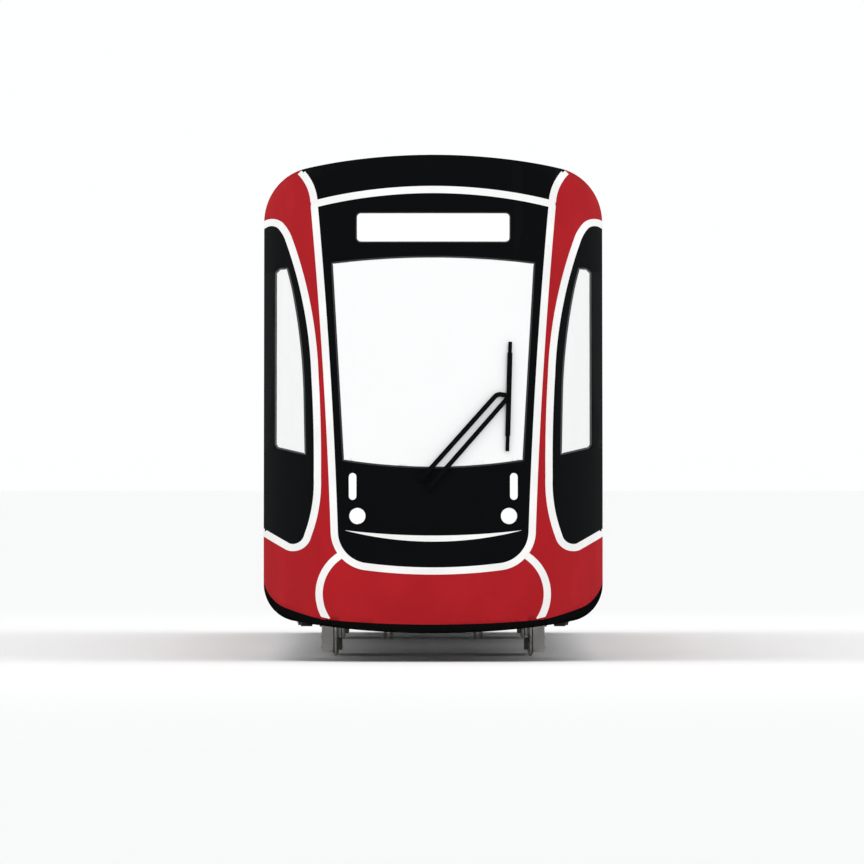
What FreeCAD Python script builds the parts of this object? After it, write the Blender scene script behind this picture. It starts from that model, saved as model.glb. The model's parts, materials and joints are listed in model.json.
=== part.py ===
"""A three-section low-floor tram: two cab cars on bogies and a carried centre car between them.

The tram runs along Y with its front cab towards -Y and Z up. Z is zero at the tips of the wheel flanges.
Lengths are millimetres. Heights are above the flange tips, and the rail head is one flange height higher.
"""

import FreeCAD
import Part
import Sketcher
import math
import os
import re

V = FreeCAD.Vector

SIZES = (
    ("half_length", 11200, "nose tip from the middle of the tram"),
    ("half_width", 1200, "middle plane to the outside of a side wall"),
    ("centre_half", 3050, "half the length of the centre car's body"),
    ("bellows_gap", 500, "between the ends of two cars"),
    ("cab_length", 2700, "nose tip to the back of the cab module"),
    ("bogie_place", 6300, "middle of the tram to a bogie's centre"),
    ("apron_height", 200, "lowest edge of the nose, on the middle plane"),
    ("crown_height", 3560, "top of the nose, on the middle plane"),
    ("band_foot", 900, "lower edge of the dark window band"),
    ("band_head", 3080, "upper edge of the dark window band"),
    ("crown_radius", 4383, "arc across the top of the nose"),
    ("apron_radius", 5886, "arc across the bottom of the nose"),
    ("shoulder_reach", 900, "middle plane to where the shoulder arc begins"),
    ("chine_reach", 985, "middle plane to where the lower corner arc begins"),
    ("panel", 50, "thickness of the nose panels"),
    ("glass", 15, "thickness of the bonded glass"),
    ("inner_half", 1080, "middle plane to the inside of a side wall"),
    ("sill_half", 1150, "middle plane to the outside of the lower wall"),
    ("floor_top", 375, "low floor"),
    ("floor_thick", 50, "low floor and aisle floor"),
    ("aisle_top", 450, "floor between the wheel boxes"),
    ("aisle_half", 440, "middle plane to the inside of a wheel box"),
    ("box_top", 740, "top of a wheel box"),
    ("box_wall", 20, "sheet of a wheel box"),
    ("well_half", 1330, "half the length of the space for a bogie"),
    ("well_reach", 1060, "half the width of the space for a bogie"),
    ("ceiling", 2620, "underside of the roof structure"),
    ("roof_deck", 2800, "top of the roof structure"),
    ("skin", 30, "thickness of skirts and roof fairings"),
    ("portal", 60, "thickness of a car's end frame"),
    ("passage_half", 650, "half the width of the gangway"),
    ("passage_head", 2350, "top of the gangway"),
    ("window_foot", 1150, "lower edge of a passenger window"),
    ("window_head", 2560, "upper edge of a passenger window"),
    ("window_corner", 90, "corner radius of a passenger window"),
    ("rebate", 30, "landing of the window glass on the wall"),
    ("door_head", 2500, "upper edge of a door leaf"),
    ("centre_door", 1550, "middle of the tram to the middle of a double door"),
    ("door_wide", 780, "single door leaf"),
    ("leaf_wide", 650, "one leaf of a double door"),
    ("door_glass_foot", 700, "lower edge of the glass in a door"),
    ("door_glass_head", 2360, "upper edge of the glass in a door"),
    ("door_stile", 85, "edge of a door leaf beside its glass"),
    ("door_gap", 6, "clearance round a door leaf"),
    ("plate_radius", 620, "turning floor plate in a gangway"),
    ("plate_thick", 20, "turning floor plate"),
    ("turn_gap", 6, "clearance round the turning floor plate"),
    ("seat_gap", 0.3, "running clearance between bearing faces"),
    ("wheel_radius", 295, "tread of a wheel"),
    ("flange_height", 25, "flange beyond the tread"),
    ("wheelbase", 1850, "between the two axles of a bogie"),
    ("wheel_inner", 685, "middle plane to the inner face of a wheel"),
    ("wheel_thick", 115, "across the rim"),
    ("axle_radius", 65, "axle between its wheels"),
    ("journal_radius", 55, "axle in its box"),
    ("journal_end", 955, "middle plane to the end of an axle"),
    ("running_fit", 0.1, "radial clearance of a journal"),
    ("beam_inner", 870, "middle plane to the inside of a bogie side beam"),
    ("beam_thick", 80, "bogie side beam"),
    ("box_cap", 12, "cap of an axle box"),
    ("unit_half", 720, "middle plane to the side of a roof unit"),
    ("unit_high", 440, "roof unit above the deck"),
    ("unit_slope", 150, "sloping shoulder of a roof unit"),
    ("skid", 40, "gap under a roof unit"),
    ("fan_radius", 250, "air opening in the top of a roof unit"),
    ("fan_deep", 110, "depth of the air opening"),
    ("slot_wide", 26, "air slot in the side of a roof unit"),
    ("slot_pitch", 70, "from one air slot to the next"),
    ("cushion_high", 440, "front edge of a seat above the low floor"),
    ("seat_wide", 560, "double seat"),
    ("seat_near", 480, "middle plane to the near edge of a seat"),
    ("rail_reach", 465, "middle plane to the grab poles"),
    ("rail_high", 1990, "overhead grab rail"),
    ("pole_radius", 17, "grab pole"),
)

SHEET = "dims"
NAMES = re.compile(r"\b(" + "|".join(sorted((s[0] for s in SIZES), key=len, reverse=True)) + r")\b")

doc = FreeCAD.newDocument("tram")
sheet = doc.addObject("Spreadsheet::Sheet", SHEET)
for row, (alias, size, note) in enumerate(SIZES, start=1):
    sheet.set(f"A{row}", note)
    sheet.set(f"B{row}", str(size))
    sheet.setAlias(f"B{row}", alias)
doc.recompute()

nodes = {}


def cells(formula):
    """A formula in the names of the sizes, as an expression on the sheet's cells."""
    return NAMES.sub(SHEET + r".\1", str(formula))


def value(formula):
    """What a formula in the names of the sizes comes to now."""
    return float(sheet.evalExpression(cells(formula)))


def bind(thing, **formulas):
    """Binds properties of an object to formulas; base_x, base_y and base_z stand for its place."""
    places = {"base_x": "Placement.Base.x", "base_y": "Placement.Base.y", "base_z": "Placement.Base.z"}
    for name, formula in formulas.items():
        thing.setExpression(places.get(name, name), cells(formula))
    return thing


# Sketches

TURNS = {
    "XY": FreeCAD.Rotation(),
    "XZ": FreeCAD.Rotation(V(1, 0, 0), 90),
    "YZ": FreeCAD.Rotation(V(1, 1, 1), 120),
}


def sketch(plane, offset="0", owner=None):
    """A sketch on an origin plane of its body, or free in the document, moved along the plane's normal.

    The XZ plane's normal is -Y, so an offset there is a distance towards the front of the tram.
    """
    if owner is None:
        made = doc.addObject("Sketcher::SketchObject", "Outline")
        made.Placement = FreeCAD.Placement(V(0, 0, 0), TURNS[plane])
        if plane == "XY":
            return bind(made, base_z=offset)
        if plane == "XZ":
            return bind(made, base_y=f"-({offset})")
        return bind(made, base_x=offset)
    made = owner.newObject("Sketcher::SketchObject", "Outline")
    made.AttachmentSupport = [(origin_feature(owner, plane + "_Plane"), "")]
    made.MapMode = "FlatFace"
    made.setExpression("AttachmentOffset.Base.z", cells(offset))
    return made


def origin_feature(owner, role):
    """A plane or axis of a body's own origin."""
    return [f for f in owner.Origin.OriginFeatures if f.Role == role][0]


def constrain(made, rules):
    """Adds constraints to a sketch together; one with a formula is bound to the sheet."""
    found = []
    for kind, places, formula in rules:
        found.append(Sketcher.Constraint(kind, *places, *([] if formula is None else [value(formula)])))
    numbers = made.addConstraint(found)
    for index, (kind, places, formula) in zip(numbers, rules):
        if formula is not None:
            made.setExpression(f"Constraints[{index}]", cells(formula))


def outline(made, corners, bends=None):
    """Adds a closed loop to a sketch.

    corners holds a pair of formulas for each corner. bends gives the radius of an arc that leaves a corner in place of
    a line; a positive radius turns left on the way round, a negative one right.
    """
    bends = bends or {}
    points = [V(value(x), value(y), 0) for x, y in corners]
    ends = []
    shapes = []
    first = made.GeometryCount
    for index, start in enumerate(points):
        stop = points[(index + 1) % len(points)]
        if index not in bends:
            shapes.append(Part.LineSegment(start, stop))
            ends.append((1, 2))
            continue
        radius = value(bends[index])
        along = stop - start
        rise = math.sqrt(radius**2 - (along.Length / 2) ** 2) * (1 if radius > 0 else -1)
        middle = (start + stop) / 2 + V(-along.y, along.x, 0) / along.Length * rise
        angles = [math.atan2(p.y - middle.y, p.x - middle.x) for p in (start, stop)]
        if radius < 0:
            angles.reverse()
        circle = Part.Circle(middle, V(0, 0, 1), abs(radius))
        shapes.append(Part.ArcOfCircle(circle, angles[0], angles[1]))
        ends.append((1, 2) if radius > 0 else (2, 1))
    made.addGeometry(shapes, False)
    rules = []
    for index, (x, y) in enumerate(corners):
        edge = first + index
        following = (index + 1) % len(corners)
        rules.append(("Coincident", (edge, ends[index][1], first + following, ends[following][0]), None))
        rules.append(("DistanceX", (-1, 1, edge, ends[index][0]), x))
        rules.append(("DistanceY", (-1, 1, edge, ends[index][0]), y))
        if index in bends:
            rules.append(("Radius", (edge,), str(bends[index]).lstrip("-")))
    constrain(made, rules)
    return made


def mirror_line(corners):
    """The corners of a symmetric loop from those of its right half, which run upwards."""
    return list(corners) + [(f"-({x})", y) for x, y in reversed(corners)]


def rounded(made, left, low, right, high, corner):
    """Adds a rectangle with round corners to a sketch."""
    l, b, r, t, c = (f"({f})" for f in (left, low, right, high, corner))
    loop = [
        (f"{l} + {c}", b),
        (f"{r} - {c}", b),
        (r, f"{b} + {c}"),
        (r, f"{t} - {c}"),
        (f"{r} - {c}", t),
        (f"{l} + {c}", t),
        (l, f"{t} - {c}"),
        (l, f"{b} + {c}"),
    ]
    return outline(made, loop, {1: c, 3: c, 5: c, 7: c})


def rectangle(made, left, low, right, high):
    """Adds a plain rectangle to a sketch."""
    return outline(made, [(left, low), (right, low), (right, high), (left, high)])


def disc(made, x, y, radius):
    """Adds a circle to a sketch."""
    index = made.addGeometry(Part.Circle(V(value(x), value(y), 0), V(0, 0, 1), value(radius)), False)
    rules = [("Radius", (index,), radius), ("DistanceX", (-1, 1, index, 3), x), ("DistanceY", (-1, 1, index, 3), y)]
    constrain(made, rules)
    return made


# Features


def part_body(label):
    """A new body for one piece."""
    made = doc.addObject("PartDesign::Body", "Body")
    made.Label = label
    return made


def pad(owner, profile, length, back=False):
    """Adds material along the sketch's normal, or against it."""
    made = owner.newObject("PartDesign::Pad", "Pad")
    made.Profile = profile
    made.Reversed = back
    return bind(made, Length=length)


def pocket(owner, profile, length=None, back=False):
    """Takes material away against the sketch's normal, or along it, or all the way both ways with no length."""
    made = owner.newObject("PartDesign::Pocket", "Pocket")
    made.Profile = profile
    if length is None:
        made.Type = "ThroughAll"
        made.Midplane = True
        return made
    made.Reversed = back
    return bind(made, Length=length)


def mirrored(owner, *features):
    """Repeats features on the other side of the middle plane."""
    made = owner.newObject("PartDesign::Mirrored", "Mirrored")
    made.Originals = list(features)
    made.MirrorPlane = (origin_feature(owner, "YZ_Plane"), [""])
    owner.Tip = made
    return made


def prism(profile, length, start="0", label="Prism"):
    """A solid from a free sketch: it starts a distance along the normal and is as long as told."""
    made = doc.addObject("Part::Extrusion", label)
    made.Base = profile
    made.DirMode = "Normal"
    made.Solid = True
    made.FaceMakerClass = "Part::FaceMakerBullseye"
    return bind(made, LengthFwd=f"({start}) + ({length})", LengthRev=f"-({start})")


def box(x, y, z, wide, long, high):
    """A plain block from the place of its lowest corner and its sizes."""
    made = doc.addObject("Part::Box", "Block")
    return bind(made, Length=wide, Width=long, Height=high, base_x=x, base_y=y, base_z=z)


def cylinder(x, y, z, radius, height, turn=None):
    """A cylinder that stands on a point, or lies along the axis that a turn gives."""
    made = doc.addObject("Part::Cylinder", "Round")
    if turn:
        made.Placement = FreeCAD.Placement(V(0, 0, 0), turn)
    return bind(made, Radius=radius, Height=height, base_x=x, base_y=y, base_z=z)


ALONG_X = FreeCAD.Rotation(V(0, 1, 0), 90)
ALONG_Y = FreeCAD.Rotation(V(1, 0, 0), -90)


def common(first, second, label="Common"):
    """What two solids share."""
    made = doc.addObject("Part::Common", label)
    made.Base, made.Tool = first, second
    return made


def fused(*pieces, label="Fused"):
    """Several solids as one."""
    made = doc.addObject("Part::MultiFuse", label)
    made.Shapes = list(pieces)
    made.Refine = True
    return made


def cut(first, *tools, label="Cut"):
    """A solid less others."""
    tool = tools[0] if len(tools) == 1 else fused(*tools)
    made = doc.addObject("Part::Cut", label)
    made.Base, made.Tool = first, tool
    return made


def both_sides(piece):
    """A piece on the right and its mirror image on the left."""
    other = doc.addObject("Part::Mirroring", "Left")
    other.Source = piece
    other.Normal = V(1, 0, 0)
    return together(piece, other)


def together(*pieces):
    """Separate solids that share a node."""
    made = doc.addObject("Part::Compound", "Group")
    made.Links = list(pieces)
    return made


def moved(piece, y="0", half_turn=False):
    """A copy of a piece further along the tram, or turned half round about the tram's middle."""
    made = doc.addObject("Part::Compound", "Copy")
    made.Links = [piece]
    if half_turn:
        made.Placement = FreeCAD.Placement(V(0, 0, 0), FreeCAD.Rotation(V(0, 0, 1), 180))
    return bind(made, base_y=y)


def node(name, piece):
    """Names a finished piece."""
    piece.Label = name
    nodes[name] = piece
    return piece


# Places that several pieces share

CAR_END = "centre_half + bellows_gap"
PIVOT = "centre_half + bellows_gap / 2"
CAB_BACK = "half_length - cab_length"
SALOON = f"({CAB_BACK}) - ({CAR_END})"
AXLE_HEIGHT = "wheel_radius + flange_height"
OUTER = "half_width"


# The nose

PLAN_FRONT_RADIUS = 3058.0
PLAN_FRONT_REACH = 531.0
PLAN_SIDE_RADIUS = 4500.0
PLAN_SIDE_REACH = 870.0
PLAN_OVERSIZE = 20.0
RAKE = (
    (-40, 150),
    (200, 70),
    (440, 12),
    (720, 0),
    (1020, 14),
    (1362, 70),
    (1850, 174),
    (2340, 278),
    (2841, 385),
    (3300, 500),
    (3700, 640),
)


def plan_wire(height, setback, inset, back):
    """The outline of the nose at one height, with its walls inset, from its tip to a plane further back."""
    half = value("half_width") + PLAN_OVERSIZE
    lead = math.asin(PLAN_FRONT_REACH / PLAN_FRONT_RADIUS)
    side = math.acos(1 - (half - PLAN_SIDE_REACH) / PLAN_SIDE_RADIUS)
    corner = (PLAN_SIDE_REACH - PLAN_FRONT_REACH) / (math.cos(side) - math.sin(lead))
    corner_back = PLAN_FRONT_RADIUS * (1 - math.cos(lead)) + corner * math.cos(lead)
    side_back = corner_back - corner * math.sin(side) + PLAN_SIDE_RADIUS * math.sin(side)
    tip = setback - value("half_length")
    centres = (
        (V(0, PLAN_FRONT_RADIUS + tip, height), PLAN_FRONT_RADIUS - inset),
        (V(PLAN_FRONT_REACH - corner * math.sin(lead), corner_back + tip, height), corner - inset),
        (V(half - PLAN_SIDE_RADIUS, side_back + tip, height), PLAN_SIDE_RADIUS - inset),
    )

    def on_arc(place, angle):
        """The point of an arc where its outward normal has turned that far from straight ahead."""
        middle, radius = centres[place]
        return middle + V(math.sin(angle), -math.cos(angle), 0) * radius

    def flip(point):
        """The same point on the other side."""
        return V(-point.x, point.y, point.z)

    quarter = math.pi / 2
    front = Part.Arc(flip(on_arc(0, lead)), on_arc(0, 0), on_arc(0, lead))
    bends = []
    for place, low, high in ((1, lead, quarter - side), (2, quarter - side, quarter)):
        bends.append((on_arc(place, low), on_arc(place, (low + high) / 2), on_arc(place, high)))
    right = [Part.Arc(*ends) for ends in bends]
    left = [Part.Arc(*(flip(p) for p in reversed(ends))) for ends in bends]
    last = bends[1][2]
    corner_point = V(last.x, back, height)
    edges = [
        Part.LineSegment(flip(corner_point), flip(last)),
        left[1],
        left[0],
        front,
        right[0],
        right[1],
        Part.LineSegment(last, corner_point),
        Part.LineSegment(corner_point, flip(corner_point)),
    ]
    return Part.Wire([e.toShape() for e in edges])


def nose_block(inset, overrun=0):
    """The nose as a solid, with its front and sides inset by a wall."""
    back = overrun - value(CAB_BACK)
    made = doc.addObject("Part::Feature", "NoseBlock")
    made.Shape = Part.makeLoft([plan_wire(h, s, inset, back) for h, s in RAKE], True, False)
    return made


def silhouette(inset, length, start):
    """The tram's front outline, inset by a wall, as a prism along the tram."""
    half = f"half_width - {inset}"
    crown_drop = "(crown_radius - sqrt(crown_radius ^ 2 - shoulder_reach ^ 2))"
    apron_rise = "(apron_radius - sqrt(apron_radius ^ 2 - chine_reach ^ 2))"
    shoulder = "(half_width - shoulder_reach) / (1 - shoulder_reach / crown_radius)"
    chine = "(half_width - chine_reach) / (1 - chine_reach / apron_radius)"
    shoulder_foot = f"crown_height - {crown_drop} - {shoulder} * sqrt(1 - (shoulder_reach / crown_radius) ^ 2)"
    chine_head = f"apron_height + {apron_rise} + {chine} * sqrt(1 - (chine_reach / apron_radius) ^ 2)"
    top_x = f"shoulder_reach * (1 - {inset} / crown_radius)"
    top_z = f"crown_height - crown_radius + (crown_radius - {inset}) * sqrt(1 - (shoulder_reach / crown_radius) ^ 2)"
    low_x = f"chine_reach * (1 - {inset} / apron_radius)"
    low_z = f"apron_height + apron_radius - (apron_radius - {inset}) * sqrt(1 - (chine_reach / apron_radius) ^ 2)"
    corners = mirror_line([(low_x, low_z), (half, chine_head), (half, shoulder_foot), (top_x, top_z)])
    small, large = f"{chine} - {inset}", f"{shoulder} - {inset}"
    bends = {0: small, 2: large, 3: f"crown_radius - {inset}", 4: large, 6: small, 7: f"apron_radius - {inset}"}
    return prism(outline(sketch("XZ"), corners, bends), length, start)


def nose_layer(wall):
    """The solid inside the nose's surface once a wall has been taken off."""
    overrun = 10 if value(wall) else 0
    front = f"cab_length + {100 + overrun}"
    return common(nose_block(value(wall), overrun), silhouette(wall, front, f"({CAB_BACK}) - {overrun}"))


def facing(corners, bends=None):
    """A prism through the nose, from an outline seen from the front."""
    return prism(outline(sketch("XZ"), corners, bends), "half_length", "1000")


def chin_corners(gap):
    """The outline of the coupler's cover seen from the front, wider by a gap on both sides."""
    return mirror_line([(740 + gap, 150), (740 + gap, 292), (602 + gap, 772)])


nose_skin = nose_layer("0")
nose_room = nose_layer("panel")
nose_glazing = nose_layer("glass")
nose_shell = cut(nose_skin, nose_room)
glass_layer = cut(nose_skin, nose_glazing)

mask_face = facing(
    mirror_line([(485, 669), (693, 905), (838, 3228)]),
    {0: 250, 1: -40000, 2: 3552, 3: -40000, 4: 250, 5: 3691},
)
cowl_face = facing(
    mirror_line([(838, 3228), (940, 3455), (1000, 3513), (1000, 3700)]),
    {0: -335, 6: -335, 7: -3552},
)
side_corners = [
    (1300, 954),
    (1018, 802),
    (880, 883),
    (812, 1300),
    (830, 2005),
    (1014, 2958),
    (1079, 3070),
    (1200, 3080),
    (1300, 3080),
]
side_face = both_sides(facing(side_corners, {1: -110, 2: -1060, 3: -10000, 4: -3117, 5: -300, 6: -105}))
chin_face = facing(chin_corners(0), {1: 322, 3: 322})
chin_space = facing(chin_corners(6), {1: 322, 3: 322})
apron_face = facing(
    mirror_line([(1300, 100), (1300, 529), (1194, 529), (1052, 377), (778, 297)]),
    {2: -257, 3: -2213, 4: -8425, 5: -2213, 6: -257},
)
screen_face = facing(mirror_line([(631, 1412), (711, 2797)]), {1: 5767, 3: 4006})
screen_hole = facing(mirror_line([(603, 1440), (680, 2770)]), {1: 5737, 3: 3976})
sign_face = prism(rounded(sketch("XZ"), -540, 2944, 540, 3151, 32), "half_length", "1000")
quarter_corners = [
    (897, 1454),
    (1096, 1499),
    (1111, 1523),
    (1111, 2735),
    (1081, 2762),
    (1028, 2764),
    (981, 2571),
    (905, 1852),
]
quarter_face = facing(quarter_corners, {5: 2000, 6: 4200})
quarter_hole = facing(
    [(922, 1484), (1086, 1521), (1086, 2737), (1048, 2737), (1006, 2571), (930, 1852)],
    {3: 2000, 4: 4200},
)
cab_pane = prism(rounded(sketch("YZ"), -9750, 1500, -8750, 2740, 60), "400", "900")
cab_pane_hole = prism(rounded(sketch("YZ"), -9720, 1530, -8780, 2710, 40), "400", "900")

lamp_outlines = sketch("XZ")
for middle in (565, -565):
    rounded(lamp_outlines, middle - 31, 1131, middle + 31, 1327, 30)
for middle in (531, -531):
    disc(lamp_outlines, middle, 1022, 60)
lamp_faces = prism(lamp_outlines, "half_length", "1000")

front_windscreen = node("front_windscreen", common(glass_layer, screen_face))
front_sign = node("front_destination_sign", common(glass_layer, sign_face))
front_lamps = node("front_lamps", common(glass_layer, lamp_faces))
mask_panel = common(nose_shell, mask_face)
node("front_cab_mask", cut(mask_panel, front_windscreen, screen_hole, front_sign, front_lamps))

side_panels = common(nose_shell, side_face)
cab_glass = common(glass_layer, both_sides(fused(quarter_face, cab_pane)))
node("front_cab_side_frames", cut(side_panels, cab_glass, both_sides(fused(quarter_hole, cab_pane_hole))))
node("front_lower_apron", common(nose_shell, apron_face))
cowl = common(nose_shell, cowl_face)
rest = cut(nose_shell, mask_face, cowl_face, side_face, apron_face)
cover = common(rest, chin_face)
cheeks = cut(rest, chin_space)
node("front_roof_cowl", cowl)
node("front_cab_panels", together(cheeks, cover))

cab_blocks = fused(
    box(-1200, f"-({CAB_BACK}) - 40", 200, 2400, 40, 3400),
    box(-1200, "-half_length", "floor_top - floor_thick", 2400, "cab_length", "floor_thick"),
    box(-1200, "-half_length", 2880, 2400, "cab_length", 40),
)
doorway = box(-330, f"-({CAB_BACK}) - 100", "floor_top", 660, 200, 1955)
desk_outline = [
    (-10850, 350),
    (-10560, 350),
    (-10520, 900),
    (-10400, 1060),
    (-10400, 1095),
    (-10620, 1165),
    (-10850, 1240),
]
desk = prism(outline(sketch("YZ"), desk_outline, {1: 900, 3: 18, 4: 700}), 1160, -580)
knee_space = prism(outline(sketch("YZ"), [(-10700, 330), (-10300, 330), (-10300, 1000), (-10600, 940)]), 560, -280)
hood_outline = [(-10800, 1150), (-10560, 1120), (-10530, 1250), (-10560, 1275), (-10800, 1290)]
hood = prism(outline(sketch("YZ"), hood_outline, {2: 30}), 420, -210)
side_desks = both_sides(
    prism(outline(sketch("YZ"), [(-10500, 380), (-10050, 380), (-9990, 960), (-10500, 1060)], {1: 1500}), 160, 580)
)
cab_frame = fused(cut(common(cab_blocks, nose_room), doorway), common(fused(cut(desk, knee_space), hood), nose_room))
cab_frame = fused(cab_frame, common(side_desks, nose_room))
node("front_cab_frame", cab_frame)

arms = sketch("XZ")
outline(arms, [(-28, 1279), (487, 1851), (545, 1930), (545, 1965), (513, 1965), (463, 1873), (-52, 1301)])
outline(arms, [(17, 1214), (545, 1800), (513, 1825), (-7, 1236)])
blade = outline(sketch("XZ"), [(506, 1480), (540, 1480), (560, 2240), (526, 2240)])
bosses = sketch("XZ")
disc(bosses, -40, 1290, 28)
disc(bosses, 5, 1225, 28)
wiper_face, wiper_gap, screen_surface = nose_block(-30), nose_block(-18), nose_block(0)
wiper = fused(
    cut(common(wiper_face, prism(arms, 1500, 10000)), wiper_gap),
    cut(common(wiper_face, prism(blade, 1500, 10000)), screen_surface),
    cut(common(wiper_face, prism(bosses, 1500, 10000)), screen_surface),
)
node("front_wiper", wiper)


# Car bodies

def panes_sketch(made, spans, low, high, grow="0"):
    """Adds a rounded outline for each window, grown or shrunk on all sides."""
    for near, far in spans:
        rounded(
            made,
            f"({near}) - ({grow})",
            f"({low}) - ({grow})",
            f"({far}) + ({grow})",
            f"({high}) + ({grow})",
            f"window_corner + ({grow})",
        )
    return made


def car_shell(label, offset, length, frames, spans, doorways):
    """Side walls, roof and end frames as one body, with its windows and doorways cut."""
    made = part_body(label)
    right = [
        ("inner_half", "floor_top"),
        ("inner_half + 15", "floor_top"),
        ("sill_half", "floor_top + 115"),
        ("sill_half", "band_foot"),
        (OUTER, "band_foot"),
        (OUTER, "band_head"),
        ("half_width - 60", "band_head"),
        ("half_width - 60", "roof_deck"),
    ]
    ring = mirror_line(right) + [("-inner_half", "ceiling"), ("inner_half", "ceiling")]
    pad(made, outline(sketch("XZ", offset, made), ring), length)
    for place in frames:
        frame = [
            ("passage_half", "floor_top"),
            ("inner_half + 10", "floor_top"),
            ("inner_half + 10", "ceiling + 20"),
            ("-inner_half - 10", "ceiling + 20"),
            ("-inner_half - 10", "floor_top"),
            ("-passage_half", "floor_top"),
            ("-passage_half", "passage_head"),
            ("passage_half", "passage_head"),
        ]
        pad(made, outline(sketch("XZ", place, made), frame), "portal")
    pocket(made, panes_sketch(sketch("YZ", "0", made), spans, "window_foot", "window_head", "-rebate"))
    rebate = pocket(made, panes_sketch(sketch("YZ", "half_width - 18", made), spans, "window_foot", "window_head"), "40", True)
    mirrored(made, rebate)
    openings = sketch("YZ", "0", made)
    landings = sketch("YZ", "sill_half", made)
    for near, far in doorways:
        rectangle(openings, f"({near}) + 35", "floor_top - 20", f"({far}) - 35", "door_head - 35")
        rectangle(landings, f"({near}) - door_gap", "floor_top - 20", f"({far}) + door_gap", "door_head + door_gap")
    pocket(made, openings)
    landing = pocket(made, landings, "80", True)
    mirrored(made, landing)
    return node(label, made)


def door_leaves(label, leaves):
    """Door leaves on both sides and the glass for them."""
    frames = sketch("YZ")
    panes = sketch("YZ")
    lights = sketch("YZ")
    for near, far in leaves:
        left, right = f"({near}) + door_stile", f"({far}) - door_stile"
        rounded(frames, near, "floor_top - 30", far, "door_head", "20")
        rounded(frames, f"{left} + 20", "door_glass_foot + 20", f"{right} - 20", "door_glass_head - 20", "40")
        rounded(panes, left, "door_glass_foot", right, "door_glass_head", "60")
        rounded(lights, left, "door_glass_foot", right, "door_glass_head", "60")
    glass = prism(panes, "18", "half_width - 21")
    leaf = cut(prism(frames, "half_width - 3 - sill_half", "sill_half"), glass)
    node(label, both_sides(leaf))
    return glass


def car_windows(spans):
    """The glass of a car's windows on the right side."""
    return prism(panes_sketch(sketch("YZ"), spans, "window_foot", "window_head"), "18", "half_width - 18")


def side_panels_of(label, offset, length, doorways, arches, caps):
    """The red panels of a car: skirts below the band and roof fairings above it, on both sides."""
    skirt = sketch("XZ")
    low_x, low_z = "942 + 258 * cos(50)", "537 - 258 * sin(50)"
    in_x, in_z = "942 + 228 * cos(50)", "537 - 228 * sin(50)"
    path = [
        (in_x, in_z),
        (low_x, low_z),
        (OUTER, "537"),
        (OUTER, "band_foot"),
        ("sill_half", "band_foot"),
        ("sill_half", "band_foot - 30"),
        ("half_width - skin", "band_foot - 30"),
        ("half_width - skin", "537"),
    ]
    outline(skirt, path, {1: 258, 7: -228})
    gaps = [
        box(1000, f"({near}) - door_gap", 200, 300, f"({far}) - ({near}) + 2 * door_gap", 800)
        for near, far in doorways
    ]
    for middle in arches:
        arch = sketch("YZ")
        left, right = f"({middle}) - well_half + 20", f"({middle}) + well_half - 20"
        loop = [(left, 200), (right, 200), (f"{right} - 60", 500), (f"{right} - 140", 560)]
        loop += [(f"{left} + 140", 560), (f"{left} + 60", 500)]
        gaps.append(prism(outline(arch, loop), 400, 1000))
    lower = prism(skirt, length, offset)
    if gaps:
        lower = cut(lower, *gaps)
    fairing = sketch("XZ")
    path = [
        ("shoulder_reach", "roof_deck"),
        ("shoulder_reach + skin", "roof_deck"),
        ("shoulder_reach + skin", "3419"),
        ("half_width - skin", "3098"),
        ("half_width - skin", "band_head"),
        (OUTER, "band_head"),
        (OUTER, "3098"),
        ("shoulder_reach", "3467"),
    ]
    outline(fairing, path, {2: -347, 6: 377})
    upper = prism(fairing, length, offset)
    ends = []
    for place in caps:
        plate = sketch("XZ")
        path = [
            ("shoulder_reach + skin - 5", "roof_deck"),
            ("half_width - 60", "roof_deck"),
            ("half_width - 60", "band_head"),
            ("half_width - 10", "band_head"),
            ("half_width - 10", "3098"),
            ("shoulder_reach + skin - 5", "3445"),
        ]
        ends.append(prism(outline(plate, path, {4: 367}), 25, place))
    return node(label, both_sides(together(lower, fused(upper, *ends))))


DOOR_NEAR = f"20 - ({CAB_BACK})"
cab_doors = [(DOOR_NEAR, f"{DOOR_NEAR} + door_wide")]
cab_spans = [
    ("-bogie_place - 1220", "-bogie_place + 680"),
    ("-bogie_place + 780", f"-({CAR_END}) - 200"),
]
centre_doors = [("-centre_door - leaf_wide", "-centre_door + leaf_wide")]
centre_doors.append(("centre_door - leaf_wide", "centre_door + leaf_wide"))
centre_leaves = []
for place in ("-centre_door", "centre_door"):
    centre_leaves += [(f"{place} - leaf_wide", f"{place} - 3"), (f"{place} + 3", f"{place} + leaf_wide")]
centre_spans = [("-750", "750"), ("-centre_half + 150", "-centre_half + 700"), ("centre_half - 700", "centre_half - 150")]

car_shell("front_body_shell", CAR_END, SALOON, [CAR_END], cab_spans, cab_doors)
cab_door_glass = door_leaves("front_doors", cab_doors)
front_glass = both_sides(together(car_windows(cab_spans), cab_door_glass))
node("front_windows", together(front_glass, cab_glass))
side_panels_of("front_body_panels", CAR_END, SALOON, cab_doors, ["-bogie_place"], [CAR_END])

ends = ["-centre_half", "centre_half - portal"]
car_shell("centre_body_shell", "-centre_half", "2 * centre_half", ends, centre_spans, centre_doors)
centre_door_glass = door_leaves("centre_doors", centre_leaves)
node("centre_windows", both_sides(together(car_windows(centre_spans), centre_door_glass)))
side_panels_of(
    "centre_body_panels",
    "-centre_half",
    "2 * centre_half",
    centre_doors,
    [],
    ["-centre_half", "centre_half - 25"],
)


# Floors

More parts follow.
